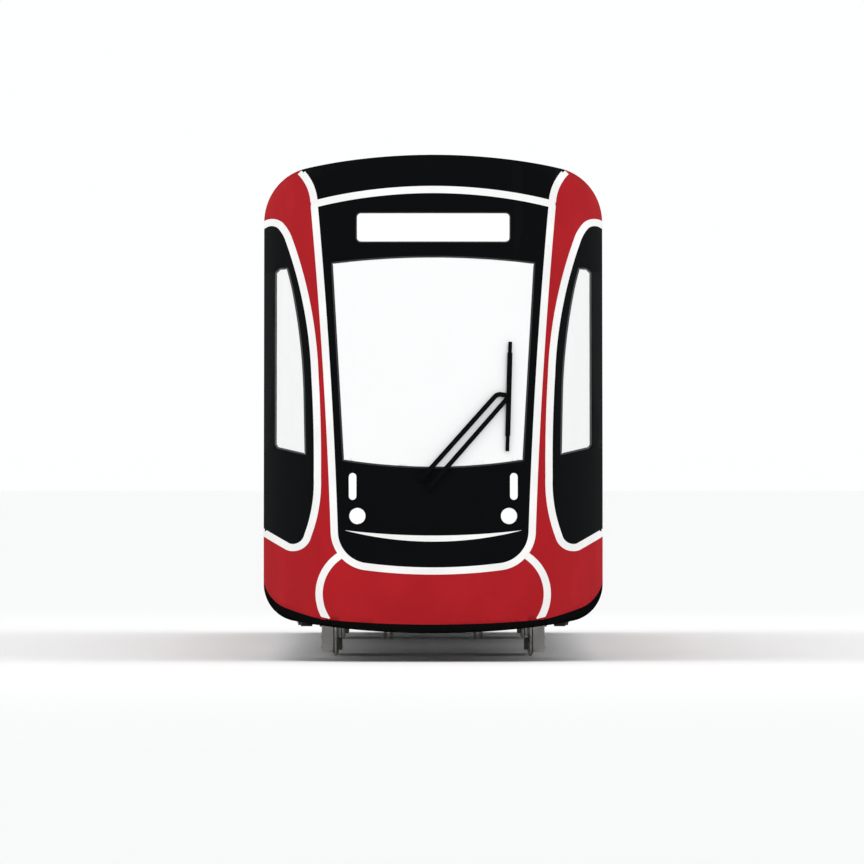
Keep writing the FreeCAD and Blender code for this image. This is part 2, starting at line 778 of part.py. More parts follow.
FLOOR_FOOT = "floor_top - floor_thick"
slab = outline(sketch("XZ"), mirror_line([("inner_half - 70", FLOOR_FOOT), ("inner_half + 10", "floor_top")]))
long_slab = prism(slab, SALOON, CAR_END)
well = box("-well_reach", "-bogie_place - well_half", 200, "2 * well_reach", "2 * well_half", 300)
end_round = cylinder(0, f"-({PIVOT})", 200, "plate_radius + turn_gap", 400)
low_floor = cut(long_slab, well, end_round)
wheel_box = cut(
    box(
        "aisle_half",
        "-bogie_place - well_half - box_wall",
        "floor_top - 10",
        "inner_half - aisle_half",
        "2 * (well_half + box_wall)",
        "box_top - floor_top + 10",
    ),
    box(
        "aisle_half + box_wall",
        "-bogie_place - well_half",
        200,
        "well_reach - aisle_half - box_wall",
        "2 * well_half",
        "box_top - box_wall - 200",
    ),
    box("aisle_half - 10", "-bogie_place - well_half", 200, 40, "2 * well_half", "aisle_top - floor_thick - 200"),
)
aisle = box(
    "-aisle_half - 5",
    "-bogie_place - well_half - box_wall",
    "aisle_top - floor_thick",
    "2 * aisle_half + 10",
    "2 * (well_half + box_wall)",
    "floor_thick",
)
ramps = sketch("YZ")
AISLE_FRONT = "-bogie_place - well_half - 5"
AISLE_BACK = "-bogie_place + well_half + 5"
outline(ramps, [(AISLE_FRONT, "floor_top - 10"), (AISLE_FRONT, "aisle_top"), (f"{AISLE_FRONT} - 500", "floor_top"), (f"{AISLE_FRONT} - 500", "floor_top - 10")])
outline(ramps, [(AISLE_BACK, "floor_top - 10"), (f"{AISLE_BACK} + 500", "floor_top - 10"), (f"{AISLE_BACK} + 500", "floor_top"), (AISLE_BACK, "aisle_top")])
ramp_solids = prism(ramps, "2 * aisle_half", "-aisle_half")
tongue = fused(
    box(-150, f"-({PIVOT}) - 680", FLOOR_FOOT, 300, 680, "floor_thick - plate_thick - seat_gap"),
    cylinder(0, f"-({PIVOT})", FLOOR_FOOT, 200, "floor_thick - plate_thick - seat_gap"),
)
pin_bore = cylinder(0, f"-({PIVOT})", 200, "60 + running_fit", 400)


def sills(doorways):
    """Thresholds under the doors, on both sides."""
    made = [
        box("inner_half - 5", f"({near}) + 35", "floor_top - 40", 73, f"({far}) - ({near}) - 70", 40)
        for near, far in doorways
    ]
    return both_sides(made[0] if len(made) == 1 else together(*made))


floor_pieces = (low_floor, both_sides(wheel_box), aisle, ramp_solids, sills(cab_doors))
node("front_floor", cut(fused(*floor_pieces, tongue), pin_bore))

plates = []
for side in ("-", ""):
    plates.append(cylinder(0, f"{side}({PIVOT})", "floor_top - plate_thick", "plate_radius", "plate_thick"))
    plates.append(cylinder(0, f"{side}({PIVOT})", "floor_top - 75", 60, 70))
centre_slab = prism(slab, "2 * centre_half", "-centre_half")
node("centre_floor", fused(centre_slab, *plates, sills(centre_doors)))


# Seats

def seat_side(y, z, height, faces_front, foot):
    """The side view of a seat whose cushion stands a height above its footing; y is the foot of its back."""
    turn = -1 if faces_front else 1
    side = [
        (90, "0"),
        (310, "0"),
        (350, f"{height} - 120"),
        (440, f"{height} - 55"),
        (440, f"{height} - 5"),
        (70, f"{height} - 35"),
        (-60, f"{height} + 590"),
        (-118, f"{height} + 580"),
        (-30, f"{height} - 60"),
        (60, f"{height} - 130"),
    ]
    if not foot:
        side[0:3] = [(60, f"{height} - 130"), (350, f"{height} - 120")]
        side.pop()
    corners = [(f"({y}) + ({turn * u})", f"({z}) + ({w})") for u, w in side]
    rim = 3 if foot else 2
    return corners, {rim: turn * 27, rim + 1: turn * 1500, rim + 2: turn * -1700, rim + 3: turn * 32}


def seat(y, z, height, faces_front=True):
    """A double seat beside the aisle, on its own footing."""
    corners, bends = seat_side(y, z, height, faces_front, True)
    return prism(outline(sketch("YZ"), corners, bends), "seat_wide", "seat_near")


ON_BOX = "(cushion_high - 300)"
saloon_seats = together(
    seat("-bogie_place - 1180", "box_top", ON_BOX, False),
    seat("-bogie_place + 140", "box_top", ON_BOX),
    seat("-bogie_place + 400", "box_top", ON_BOX, False),
    seat("-bogie_place + 2220", "floor_top", "cushion_high"),
)
node("front_seats", both_sides(saloon_seats))
centre_pair = together(seat(-640, "floor_top", "cushion_high", False), seat(640, "floor_top", "cushion_high"))
node("centre_seats", both_sides(centre_pair))

DRIVER_Y = -9560
corners, bends = seat_side(DRIVER_Y, "floor_top", 500, True, False)
arm_rest = prism(rounded(sketch("YZ"), DRIVER_Y - 190, 1060, DRIVER_Y + 40, 1105, 20), 50, 245)
arm_post = cylinder(240, DRIVER_Y + 8, 1082, 14, 20, ALONG_X)
driver_seat = fused(
    prism(outline(sketch("YZ"), corners, bends), 480, -240),
    prism(rounded(sketch("YZ"), DRIVER_Y + 60, 1470, DRIVER_Y + 118, 1640, 25), 260, -130),
    cylinder(0, DRIVER_Y - 200, "floor_top", 60, 390),
    cylinder(0, DRIVER_Y - 200, "floor_top", 190, 25),
    both_sides(fused(arm_rest, arm_post)),
)
node("front_driver_seat", driver_seat)


# Grab poles and overhead rails

def grab_rails(near, far, poles, low_poles):
    """The poles of one side from the floor, or from a wheel box, to the ceiling, and the rail between them."""
    rail = cylinder("rail_reach", near, "rail_high", "pole_radius - 2", f"({far}) - ({near})", ALONG_Y)
    made = [rail]
    for y in poles:
        made.append(cylinder("rail_reach", y, "floor_top", "pole_radius", "ceiling - floor_top"))
    for y in low_poles:
        made.append(cylinder("rail_reach", y, "box_top", "pole_radius", "ceiling - box_top"))
    return both_sides(fused(*made))


cab_poles = (f"-({CAB_BACK}) + 810", f"-({CAR_END}) - 380")
node("front_grab_rails", grab_rails(cab_poles[0], cab_poles[1], cab_poles, ["-bogie_place + 270"]))
centre_poles = [f"{y}" for y in (-2350, -1550, -830, 830, 1550, 2350)]
node("centre_grab_rails", grab_rails(centre_poles[0], centre_poles[-1], centre_poles, []))


# Roof equipment

def air_fan(y):
    """The opening cut for a fan, and the fan that stands in it with its guard."""
    foot = "roof_deck + unit_high - fan_deep"
    opening = cylinder(0, y, foot, "fan_radius", "fan_deep + 10")
    rim = "roof_deck + unit_high - 24"
    guard = sketch("XY", rim)
    for share in (0.3, 0.52, 0.74):
        disc(guard, 0, y, f"{share} * fan_radius + 6")
        disc(guard, 0, y, f"{share} * fan_radius - 6")
    hoops = prism(guard, 14)
    bars = [box("-fan_radius - 10", f"({y}) - 8", f"{rim} - 2", "2 * fan_radius + 20", 16, 18)]
    bars.append(box(-8, f"({y}) - fan_radius - 10", f"{rim} - 2", 16, "2 * fan_radius + 20", 18))
    hub = cylinder(0, y, f"{foot} - 10", 66, "fan_deep - 14")
    return opening, [hoops, hub, *bars]


def roof_unit(near, far, fans, slots, through):
    """A roof unit on skids with sloping shoulders, fans in its top and a row of air slots in each side."""
    length = f"({far}) - ({near})"
    top = "roof_deck + unit_high"
    right = [("unit_half", "roof_deck + skid"), ("unit_half", f"{top} - unit_slope"), ("unit_half - unit_slope", top)]
    case = prism(outline(sketch("XZ"), mirror_line(right)), length, f"-({far})")
    rows = sketch("YZ")
    for index in range(slots):
        start = f"({near}) + 120 + {index} * slot_pitch"
        rectangle(rows, start, "roof_deck + skid + 50", f"{start} + slot_wide", f"{top} - unit_slope - 30")
    row = prism(rows, "2 * unit_half + 40", "-unit_half - 20") if through else both_sides(prism(rows, 40, "unit_half - 22"))
    openings, stands = [], []
    for y in fans:
        opening, parts = air_fan(y)
        openings.append(opening)
        stands += parts
    skids = [box(x, near, "roof_deck", 60, length, "skid + 5") for x in (-500, 440)]
    return fused(cut(case, together(row, *openings)), *skids, *stands)


cooler = roof_unit("-8250", "-6250", ["-7700", "-6800"], 25, False)
converter = roof_unit("-5950", "-4050", [], 23, False)
lids = [box(-420, y, "roof_deck + unit_high - 5", 840, 520, 17) for y in (-5850, -5260, -4670)]
node("front_roof_equipment", together(cooler, fused(converter, *lids)))
resistor = roof_unit("-2900", "-1600", [], 16, True)
battery = roof_unit("1600", "2900", ["2250"], 16, False)
node("centre_roof_equipment", together(resistor, battery))


# Bellows

def pleats(wide, low, high):
    """A pleated tube between two cars, as sections alternately wide and narrow."""
    folds = 10
    gap = value("bellows_gap")
    start = -value("centre_half")
    rings = []
    for index in range(2 * folds + 1):
        drop = 0 if index % 2 else 55
        half, bottom, top, corner = wide - drop, low + drop, high - drop, 160
        points = [
            (half, bottom + corner),
            (half, top - corner),
            (half - corner, top),
            (-half + corner, top),
            (-half, top - corner),
            (-half, bottom + corner),
            (-half + corner, bottom),
            (half - corner, bottom),
        ]
        y = start - gap * index / (2 * folds)
        rings.append(Part.makePolygon([V(x, y, z) for x, z in points + points[:1]]))
    return Part.makeLoft(rings, True, True)


bellows = doc.addObject("Part::Feature", "Bellows")
bellows.Shape = pleats(1130, 200, 2780).cut(pleats(1100, 230, 2750))
node("front_bellows", bellows)


# Bogie, built about its own centre

beam_outline = [
    (-1055, 215),
    (-795, 215),
    (-740, 270),
    (740, 270),
    (795, 215),
    (1055, 215),
    (1055, 400),
    (1000, 435),
    (760, 435),
    (640, 400),
    (-640, 400),
    (-760, 435),
    (-1000, 435),
    (-1055, 400),
]
beam = outline(sketch("YZ"), beam_outline)
disc(beam, "-wheelbase / 2", AXLE_HEIGHT, "journal_radius + running_fit")
disc(beam, "wheelbase / 2", AXLE_HEIGHT, "journal_radius + running_fit")
side_parts = [prism(beam, "beam_thick", "beam_inner")]
for y in (-230, 230):
    side_parts.append(cylinder(900, y, 380, 95, 20))
    side_parts.append(cylinder(900, y, 395, 85, "box_top - box_wall - seat_gap - 395"))
side_parts.append(cylinder(640, -350, 330, 130, 700, ALONG_Y))
side_parts.append(box(657, -480, 40, 120, 960, 80))
for y in (-300, 260):
    side_parts.append(box(700, y, 110, 34, 40, 170))
for turn in (-1, 1):
    case = cut(
        fused(
            cylinder(560, f"{turn} * wheelbase / 2", AXLE_HEIGHT, 110, 100, ALONG_X),
            cylinder(610, 340 if turn > 0 else -860, 330, 48, 520, ALONG_Y),
        ),
        cylinder(550, f"{turn} * wheelbase / 2", AXLE_HEIGHT, "axle_radius + 6", 120, ALONG_X),
    )
    side_parts.append(case)
for turn in (-1, 1):
    axle_box = cylinder("beam_inner - 4", f"{turn} * wheelbase / 2", AXLE_HEIGHT, 98, "journal_end + 3 + box_cap - beam_inner + 4", ALONG_X)
    side_parts.append(axle_box)
side_parts.append(cylinder(968, -250, 372, 22, 500, ALONG_Y))
side_parts += [box(945, y, 350, 45, 26, 44) for y in (-262, 236)]
journals = []
for turn in (-1, 1):
    bore = cylinder(860, f"{turn} * wheelbase / 2", AXLE_HEIGHT, "journal_radius + running_fit", "journal_end + 3 - 860", ALONG_X)
    journals.append(bore)
right_side = cut(fused(*side_parts), *journals)
middle_parts = [
    box("-beam_inner - 5", -380, 270, "2 * beam_inner + 10", 180, 110),
    box("-beam_inner - 5", 200, 270, "2 * beam_inner + 10", 180, 110),
    box(-200, -210, 270, 400, 420, 110),
    cylinder(0, 0, 375, 300, "aisle_top - floor_thick - seat_gap - 375"),
]
bogie = fused(both_sides(right_side), *middle_parts)
node("front_bogie_frame", moved(bogie, "-bogie_place"))
node("rear_bogie_frame", moved(bogie, "bogie_place"))

wheel_line = [
    ("journal_end", 0),
    ("journal_end", "journal_radius"),
    (835, "journal_radius"),
    (830, "axle_radius"),
    (815, "axle_radius"),
    (815, 110),
    (755, 110),
    (755, 240),
    ("wheel_inner + wheel_thick", 240),
    ("wheel_inner + wheel_thick", "wheel_radius - 5"),
    ("wheel_inner + wheel_thick - 5", "wheel_radius"),
    ("wheel_inner + 33", "wheel_radius"),
    ("wheel_inner + 21", "wheel_radius + flange_height"),
    ("wheel_inner + 7", "wheel_radius + flange_height"),
    ("wheel_inner", "wheel_radius + 13"),
    ("wheel_inner", 240),
    (725, 240),
    (725, 110),
    (672, 110),
    (672, "axle_radius"),
]
for name, place in (
    ("front_leading_wheelset", "-bogie_place - wheelbase / 2"),
    ("front_trailing_wheelset", "-bogie_place + wheelbase / 2"),
    ("rear_leading_wheelset", "bogie_place + wheelbase / 2"),
    ("rear_trailing_wheelset", "bogie_place - wheelbase / 2"),
):
    wheelset = part_body(name)
    turned = wheelset.newObject("PartDesign::Revolution", "Wheelset")
    turned.Profile = outline(sketch("XZ", "0", wheelset), mirror_line(wheel_line))
    turned.ReferenceAxis = (origin_feature(wheelset, "X_Axis"), [""])
    turned.Angle = 360
    node(name, bind(wheelset, base_y=place, base_z=AXLE_HEIGHT))


# Pantograph

ARM = 1200
TILT = 5
HINGE_Y, HINGE_Z = 600, 3030
KNEE_Y = HINGE_Y - ARM * math.cos(math.radians(TILT))
KNEE_Z = HINGE_Z + ARM * math.sin(math.radians(TILT))
HEAD_Z = HINGE_Z + 2 * ARM * math.sin(math.radians(TILT))


def tube(x, y, z, radius, length, degrees):
    """A tube that leaves a point in the YZ plane at an angle above the +Y direction."""
    made = doc.addObject("Part::Cylinder", "Tube")
    made.Radius, made.Height = radius, length
    made.Placement = FreeCAD.Placement(V(x, y, z), FreeCAD.Rotation(V(1, 0, 0), degrees - 90))
    return made


base_parts = [box(-425, -750, 2920, 50, 1500, 50), box(375, -750, 2920, 50, 1500, 50)]
base_parts += [box(-420, y, 2920, 840, 50, 50) for y in (-725, -425, 575)]
for y in (-650, 650):
    shed = [(0, 0), (60, 0), (60, 14)]
    for rise in range(4):
        shed += [(38, 22 + 24 * rise), (68, 30 + 24 * rise), (38, 38 + 24 * rise)]
    shed += [(60, 110), (60, 125), (0, 125)]
    profile = outline(sketch("XZ", -y), [(f"400 + {u}", f"roof_deck + {w}") for u, w in shed])
    insulator = doc.addObject("Part::Revolution", "Insulator")
    insulator.Source, insulator.Axis, insulator.Base = profile, V(0, 0, 1), V(400, y, 0)
    insulator.Angle, insulator.Solid = 360, True
    base_parts.append(both_sides(insulator))
base_parts += [cylinder(x, 60, 2975, 28, 540, ALONG_Y) for x in (-100, 100)]
base_parts += [cylinder(x, -420, 2975, 12, 520, ALONG_Y) for x in (-100, 100)]
for x in (-165, 135):
    base_parts.append(box(x, HINGE_Y - 40, 2960, 30, 80, 110))
base_parts.append(box(-40, -420, 2960, 80, 40, 117))
node("pantograph_base", cut(fused(*base_parts), cylinder(-200, HINGE_Y, HINGE_Z, "20 + running_fit", 400, ALONG_X)))

lower = cut(
    fused(
        tube(0, HINGE_Y, HINGE_Z, 38, ARM, 180 - TILT),
        cylinder(-190, HINGE_Y, HINGE_Z, 20, 380, ALONG_X),
        cylinder(-60, HINGE_Y, HINGE_Z, 45, 120, ALONG_X),
        cylinder(-60, KNEE_Y, KNEE_Z, 45, 120, ALONG_X),
    ),
    cylinder(-100, KNEE_Y, KNEE_Z, "20 + running_fit", 200, ALONG_X),
)
node("pantograph_lower_arm", lower)

braces = []
for share in (0.42, 0.74):
    y = KNEE_Y + share * ARM * math.cos(math.radians(TILT))
    z = KNEE_Z + share * ARM * math.sin(math.radians(TILT))
    braces.append(cylinder(-95, y, z, 12, 190, ALONG_X))
upper = cut(
    fused(
        *braces,
        tube(95, KNEE_Y, KNEE_Z, 22, ARM, TILT),
        tube(-95, KNEE_Y, KNEE_Z, 22, ARM, TILT),
        cylinder(-125, KNEE_Y, KNEE_Z, 20, 250, ALONG_X),
        cylinder(-125, HINGE_Y, HEAD_Z, 30, 250, ALONG_X),
    ),
    cylinder(-200, HINGE_Y, HEAD_Z, "15 + running_fit", 400, ALONG_X),
)
node("pantograph_upper_arm", upper)

head_parts = [cylinder(-165, HINGE_Y, HEAD_Z, 15, 330, ALONG_X)]
for x in (-165, 135):
    head_parts.append(box(x, HINGE_Y - 190, HEAD_Z - 18, 30, 380, 36))
for y in (HINGE_Y - 190, HINGE_Y + 140):
    head_parts += [box(x, y, HEAD_Z, 30, 50, 50) for x in (-165, 135)]
    strip = outline(
        sketch("XZ", f"{-y - 50}"),
        [
            (-800, HEAD_Z - 110),
            (-780, HEAD_Z - 120),
            (-520, HEAD_Z + 45),
            (520, HEAD_Z + 45),
            (780, HEAD_Z - 120),
            (800, HEAD_Z - 110),
            (530, HEAD_Z + 75),
            (-530, HEAD_Z + 75),
        ],
    )
    head_parts.append(prism(strip, 50))
node("pantograph_head", fused(*head_parts))


# The rear car is the front car turned half round

for name in sorted(nodes):
    if name.startswith("front_") and not name.startswith(("front_bogie", "front_leading", "front_trailing")):
        node(name.replace("front_", "rear_", 1), moved(nodes[name], half_turn=True))

doc.recompute()
for thing in doc.Objects:
    if "Invalid" in thing.State or "Error" in thing.State:
        raise SystemExit(f"{thing.Name} {thing.Label} {thing.TypeId} {thing.State}")

os.makedirs("parts", exist_ok=True)
for name, piece in nodes.items():
    shape = piece.Shape
    if shape.isNull() or not shape.isValid() or not shape.Solids:
        raise SystemExit(f"{name} has no sound solid")
    shape.exportStep(os.path.join("parts", name + ".step"))
print(len(nodes), "pieces")
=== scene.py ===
"""Dresses the articulated low-floor tram for its front portrait.

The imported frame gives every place. Each sub-assembly below is a class that
holds its sizes, builds its own meshes with Blender's modelling operators and
dresses them. Lengths are in metres, X across, Y along with the front at the
low end, and Z up.
"""

from __future__ import annotations

import logging
import math
from dataclasses import dataclass, field
from enum import Enum
from typing import Any, Callable, Iterable, Sequence

import bmesh
import bpy
from mathutils import Matrix, Vector
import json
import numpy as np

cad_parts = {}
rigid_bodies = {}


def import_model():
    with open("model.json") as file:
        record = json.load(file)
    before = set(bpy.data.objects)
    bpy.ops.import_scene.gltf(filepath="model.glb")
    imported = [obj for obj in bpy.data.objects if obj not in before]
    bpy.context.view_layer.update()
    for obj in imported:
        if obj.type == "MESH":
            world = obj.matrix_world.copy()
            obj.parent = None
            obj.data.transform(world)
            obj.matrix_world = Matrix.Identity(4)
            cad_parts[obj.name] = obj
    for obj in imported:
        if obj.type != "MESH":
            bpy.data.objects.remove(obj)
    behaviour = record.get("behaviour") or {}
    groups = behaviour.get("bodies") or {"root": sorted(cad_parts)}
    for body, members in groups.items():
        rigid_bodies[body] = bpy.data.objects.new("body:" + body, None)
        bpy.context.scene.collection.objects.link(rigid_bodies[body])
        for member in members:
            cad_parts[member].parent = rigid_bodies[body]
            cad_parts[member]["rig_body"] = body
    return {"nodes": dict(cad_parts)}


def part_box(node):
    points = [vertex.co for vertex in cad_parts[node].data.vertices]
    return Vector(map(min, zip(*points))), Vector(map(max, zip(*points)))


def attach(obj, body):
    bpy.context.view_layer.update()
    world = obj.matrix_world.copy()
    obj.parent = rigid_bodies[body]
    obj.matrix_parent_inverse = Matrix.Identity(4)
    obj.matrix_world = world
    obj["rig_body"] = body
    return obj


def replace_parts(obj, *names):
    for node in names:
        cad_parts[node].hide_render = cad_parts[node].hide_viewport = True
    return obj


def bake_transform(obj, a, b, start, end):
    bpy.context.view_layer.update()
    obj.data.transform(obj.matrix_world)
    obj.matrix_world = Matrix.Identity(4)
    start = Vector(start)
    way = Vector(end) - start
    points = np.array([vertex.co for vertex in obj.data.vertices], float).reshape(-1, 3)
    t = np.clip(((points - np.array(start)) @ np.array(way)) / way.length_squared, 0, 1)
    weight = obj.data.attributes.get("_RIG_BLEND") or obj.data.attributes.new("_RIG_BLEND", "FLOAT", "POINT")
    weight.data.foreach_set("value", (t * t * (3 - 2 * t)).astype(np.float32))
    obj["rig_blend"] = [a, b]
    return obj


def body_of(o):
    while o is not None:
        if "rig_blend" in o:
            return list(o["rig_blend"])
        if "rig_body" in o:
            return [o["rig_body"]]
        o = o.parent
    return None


LOG = logging.getLogger("tram")

Colour = tuple[float, float, float]
Point = Sequence[float]
Span = tuple[float, float]
Spot = tuple[float, float, float]
Nodes = dict[str, bpy.types.Object]
Material = bpy.types.Material
Test = Callable[[Vector, Vector], bool]

IMAGE_PIXELS = 864
PIXEL = 0.007059
DRAWING_MIDDLE = (433.2, 631.8)
APRON_FOOT = 0.2
SHADE_ANGLE = math.radians(32)
SHARP_ANGLE = math.radians(30)
MERGE_REACH = 0.0004
ARC_STEP = math.radians(7)
NOSE_START, NOSE_FULL = 7.2, 8.7
FRONTWARDS = (0.0, -1.0, 0.0)
SEAT_LEAN = 4.6
BACK_LEAN = 101.5


class End(Enum):
    """The two cab cars, with the sign of Y at each cab."""

    FRONT = -1
    REAR = 1

    @property
    def car(self) -> str:
        """The body that the cab car rides on."""
        return f"{self.name.lower()}_car"

    def node(self, name: str) -> str:
        """The full name of this end's node."""
        return f"{self.name.lower()}_{name}"


class Axis(Enum):
    """The axis that a round piece is built along."""

    ACROSS = (0.0, math.pi / 2, 0.0)
    ALONG = (math.pi / 2, 0.0, 0.0)
    UP = (0.0, 0.0, 0.0)


# Shader maths


class Signal:
    """A shader socket that takes part in Python expressions."""

    def __init__(self, shader: Shader, socket: bpy.types.NodeSocket) -> None:
        """Wraps one output socket of a shader's tree."""
        self.shader = shader
        self.socket = socket

    def _math(self, operation: str, *values: Signal | float) -> Signal:
        """Adds one Math node that works on these values in turn."""
        return self.shader.node("ShaderNodeMath", {"operation": operation}, dict(enumerate(values)))

    def __add__(self, other: Signal | float) -> Signal:
        """Adds a value or signal."""
        return self._math("ADD", self, other)

    __radd__ = __add__

    def __sub__(self, other: Signal | float) -> Signal:
        """Takes a value or signal away."""
        return self._math("SUBTRACT", self, other)

    def __rsub__(self, other: Signal | float) -> Signal:
        """Takes this signal away from a value."""
        return self._math("SUBTRACT", other, self)

    def __mul__(self, other: Signal | float) -> Signal:
        """Multiplies by a value or signal."""
        return self._math("MULTIPLY", self, other)

    __rmul__ = __mul__

    def __gt__(self, other: Signal | float) -> Signal:
        """Is one where this is the greater, and nought elsewhere."""
        return self._math("GREATER_THAN", self, other)

    def __lt__(self, other: Signal | float) -> Signal:
        """Is one where this is the lesser, and nought elsewhere."""
        return self._math("LESS_THAN", self, other)

    def __abs__(self) -> Signal:
        """Drops the sign."""
        return self._math("ABSOLUTE", self)

    def wave(self, length: float) -> Signal:
        """A sine of this signal with the given wavelength, from 0 to 1."""
        return self._math("SINE", self * (2 * math.pi / length)) * 0.5 + 0.5

    def ramp(self, low: float, high: float) -> Signal:
        """Rises smoothly from 0 at low to 1 at high.

        Args:
            low: the value that gives nought.
            high: the value that gives one.

        Returns:
            The signal, held between 0 and 1.
        """
        settings = {"interpolation_type": "SMOOTHSTEP", "clamp": True}
        values = {0: self, 1: low, 2: high, 3: 0.0, 4: 1.0}
        return self.shader.node("ShaderNodeMapRange", settings, values)


class Shader:
    """One material while its nodes are being laid."""

    def __init__(self, name: str) -> None:
        """Starts a material with its own surface shader and nothing else.

        Args:
            name: the material's name.
        """
        self.material = bpy.data.materials.new(name)
        self.material.use_nodes = True
        self.tree = self.material.node_tree
        self.tree.nodes.clear()
        self.surface = self.tree.nodes.new("ShaderNodeBsdfPrincipled")
        output = self.tree.nodes.new("ShaderNodeOutputMaterial")
        self.tree.links.new(self.surface.outputs[0], output.inputs[0])

    def _fill(self, socket: bpy.types.NodeSocket, value: Any) -> None:
        """Links a signal to a socket, or sets the socket to a plain value.

        Args:
            socket: the socket to feed.
            value: the signal or the plain value.
        """
        if isinstance(value, Signal):
            self.tree.links.new(value.socket, socket)
        elif isinstance(value, tuple) and len(value) == 3 and len(socket.default_value) == 4:
            socket.default_value = (*value, 1.0)
        else:
            socket.default_value = value

    def node(
        self,
        kind: str,
        settings: dict[str, Any] | None = None,
        inputs: dict[Any, Any] | None = None,
        output: int | str = 0,
    ) -> Signal:
        """Adds any node.

        Args:
            kind: the node's type.
            settings: its own options, set before its sockets.
            inputs: values or signals for its sockets, by name or number.
            output: the socket that the signal stands for.

        Returns:
            The chosen output as a signal.
        """
        made = self.tree.nodes.new(kind)
        for name, value in (settings or {}).items():
            setattr(made, name, value)
        for name, value in (inputs or {}).items():
            self._fill(made.inputs[name], value)
        return Signal(self, made.outputs[output])

    def feed(self, **sockets: Any) -> Shader:
        """Sets sockets of the surface shader.

        Args:
            sockets: socket names in lower case with underscores.

        Returns:
            This shader.
        """
        for name, value in sockets.items():
            self._fill(self.surface.inputs[SOCKETS[name]], value)
        return self

    def place(self) -> Signal:
        """The point of the surface in the tram's own metres."""
        return self.node("ShaderNodeTexCoord", output="Object")

    def along(self, axis: int) -> Signal:
        """One coordinate of the surface point, 0 for X, 1 for Y and 2 for Z."""
        return self.node("ShaderNodeSeparateXYZ", {}, {0: self.place()}, axis)

    def facing(self, axis: int) -> Signal:
        """One component of the surface's own normal."""
        normal = self.node("ShaderNodeTexCoord", output="Normal")
        return self.node("ShaderNodeSeparateXYZ", {}, {0: normal}, axis)

    def nose(self) -> Signal:
        """Is nought along the sides and rises to one on either nose."""
        return abs(self.along(1)).ramp(NOSE_START, NOSE_FULL)

    def noise(self, size: float, detail: float = 3.0, stretch: Colour = (1, 1, 1)) -> Signal:
        """Cloudy noise from 0 to 1.

        Args:
            size: the size of its patches in metres.
            detail: how many finer layers it has.
            stretch: how much longer the patches are along each axis.

        Returns:
            The noise as a signal.
        """
        scale = tuple(1 / (size * each) for each in stretch)
        place = {0: self.place(), 1: scale}
        point = self.node("ShaderNodeVectorMath", {"operation": "MULTIPLY"}, place)
        values = {"Vector": point, "Scale": 1.0, "Detail": detail}
        return self.node("ShaderNodeTexNoise", {}, values)

    def cells(self, size: float) -> Signal:
        """The distance, from 0 to about 1, from scattered points whose mean spacing is the size."""
        return self.node("ShaderNodeTexVoronoi", {}, {"Vector": self.place(), "Scale": 1 / size})

    def blend(self, amount: Signal | float, first: Any, second: Any) -> Signal:
        """Mixes two colours, from all of the first at nought to all of the second at one."""
        inputs = {0: amount, 6: first, 7: second}
        return self.node("ShaderNodeMix", {"data_type": "RGBA"}, inputs, 2)

    def bump(self, height: Signal, depth: float, strength: float = 1.0) -> Shader:
        """Raises the surface by a signal from 0 to 1, where one is the depth in metres."""
        values = {"Height": height, "Distance": depth, "Strength": strength}
        return self.feed(normal=self.node("ShaderNodeBump", {}, values))


SOCKETS = {
    "colour": "Base Color",
    "rough": "Roughness",
    "metal": "Metallic",
    "coat": "Coat Weight",
    "coat_rough": "Coat Roughness",
    "alpha": "Alpha",
    "normal": "Normal",
    "glow": "Emission Color",
    "glow_power": "Emission Strength",
    "specular": "Specular IOR Level",
    "sheen": "Sheen Weight",
    "sheen_rough": "Sheen Roughness",
    "ior": "IOR",
}


# Finishes


@dataclass(frozen=True)
class Paint:
    """Sprayed and lacquered coachwork paint, with a road film on its lower parts."""

    name: str
    colour: Colour
    rough: float = 0.34
    coat: float = 0.26
    nose_coat: float = 0.02
    specular: float = 0.0
    film: float = 0.08
    film_top: float = 0.75

    def make(self) -> Material:
        """Lays the paint.

        Returns:
            The finished material.
        """
        shader = Shader(self.name)
        height = shader.along(2)
        clouds = shader.noise(0.35, 4.0)
        streaks = shader.noise(0.05, 3.0, (1.0, 1.0, 14.0))
        low = 1 - height.ramp(0.2, self.film_top)
        film = (low * (0.35 + 0.65 * streaks) * self.film * 3.2 * clouds).ramp(0.0, 1.0)
        dull, bright = scaled(self.colour, 0.94), scaled(self.colour, 1.05)
        shade = shader.blend(clouds.ramp(0.35, 0.75), dull, bright)
        nose = shader.nose()
        shader.feed(
            colour=shader.blend(film, shade, (0.19, 0.165, 0.14)),
            rough=self.rough + 0.3 * film + 0.06 * clouds,
            coat=(self.coat + nose * (self.nose_coat - self.coat)) * (1 - 0.75 * film),
            coat_rough=0.06,
            specular=self.specular,
        )
        return shader.bump(shader.noise(0.006, 1.0), 0.00025, 0.25).material


@dataclass(frozen=True)
class Shell:
    """Coachwork seen from both sides: gloss paint outside and a pale lining inside."""

    name: str
    outside: Colour
    lining: Colour
    skin: float

    def make(self) -> Material:
        """Lays paint on what looks outwards or sideways near the skin, and lining elsewhere.

        Returns:
            The finished material.
        """
        shader = Shader(self.name)
        across = shader.along(0)
        outwards = (abs(across) > self.skin) * (across * shader.facing(0) > -0.6)
        below = (shader.facing(2) < -0.5) * (shader.along(2) < 0.6)
        outer = (outwards + below).ramp(0.0, 1.0) * (shader.along(2) < 3.2)
        grain = shader.noise(0.0016, 2.0)
        clouds = shader.noise(0.5, 3.0)
        lining = shader.blend(clouds, scaled(self.lining, 0.93), self.lining)
        shader.feed(
            colour=shader.blend(outer, lining, self.outside),
            rough=0.55 - 0.22 * outer + 0.06 * grain,
            coat=0.22 * outer * (1 - shader.nose()),
            coat_rough=0.06,
            specular=0.0,
        )
        return shader.bump(grain * (1 - outer), 0.0004, 0.35).material


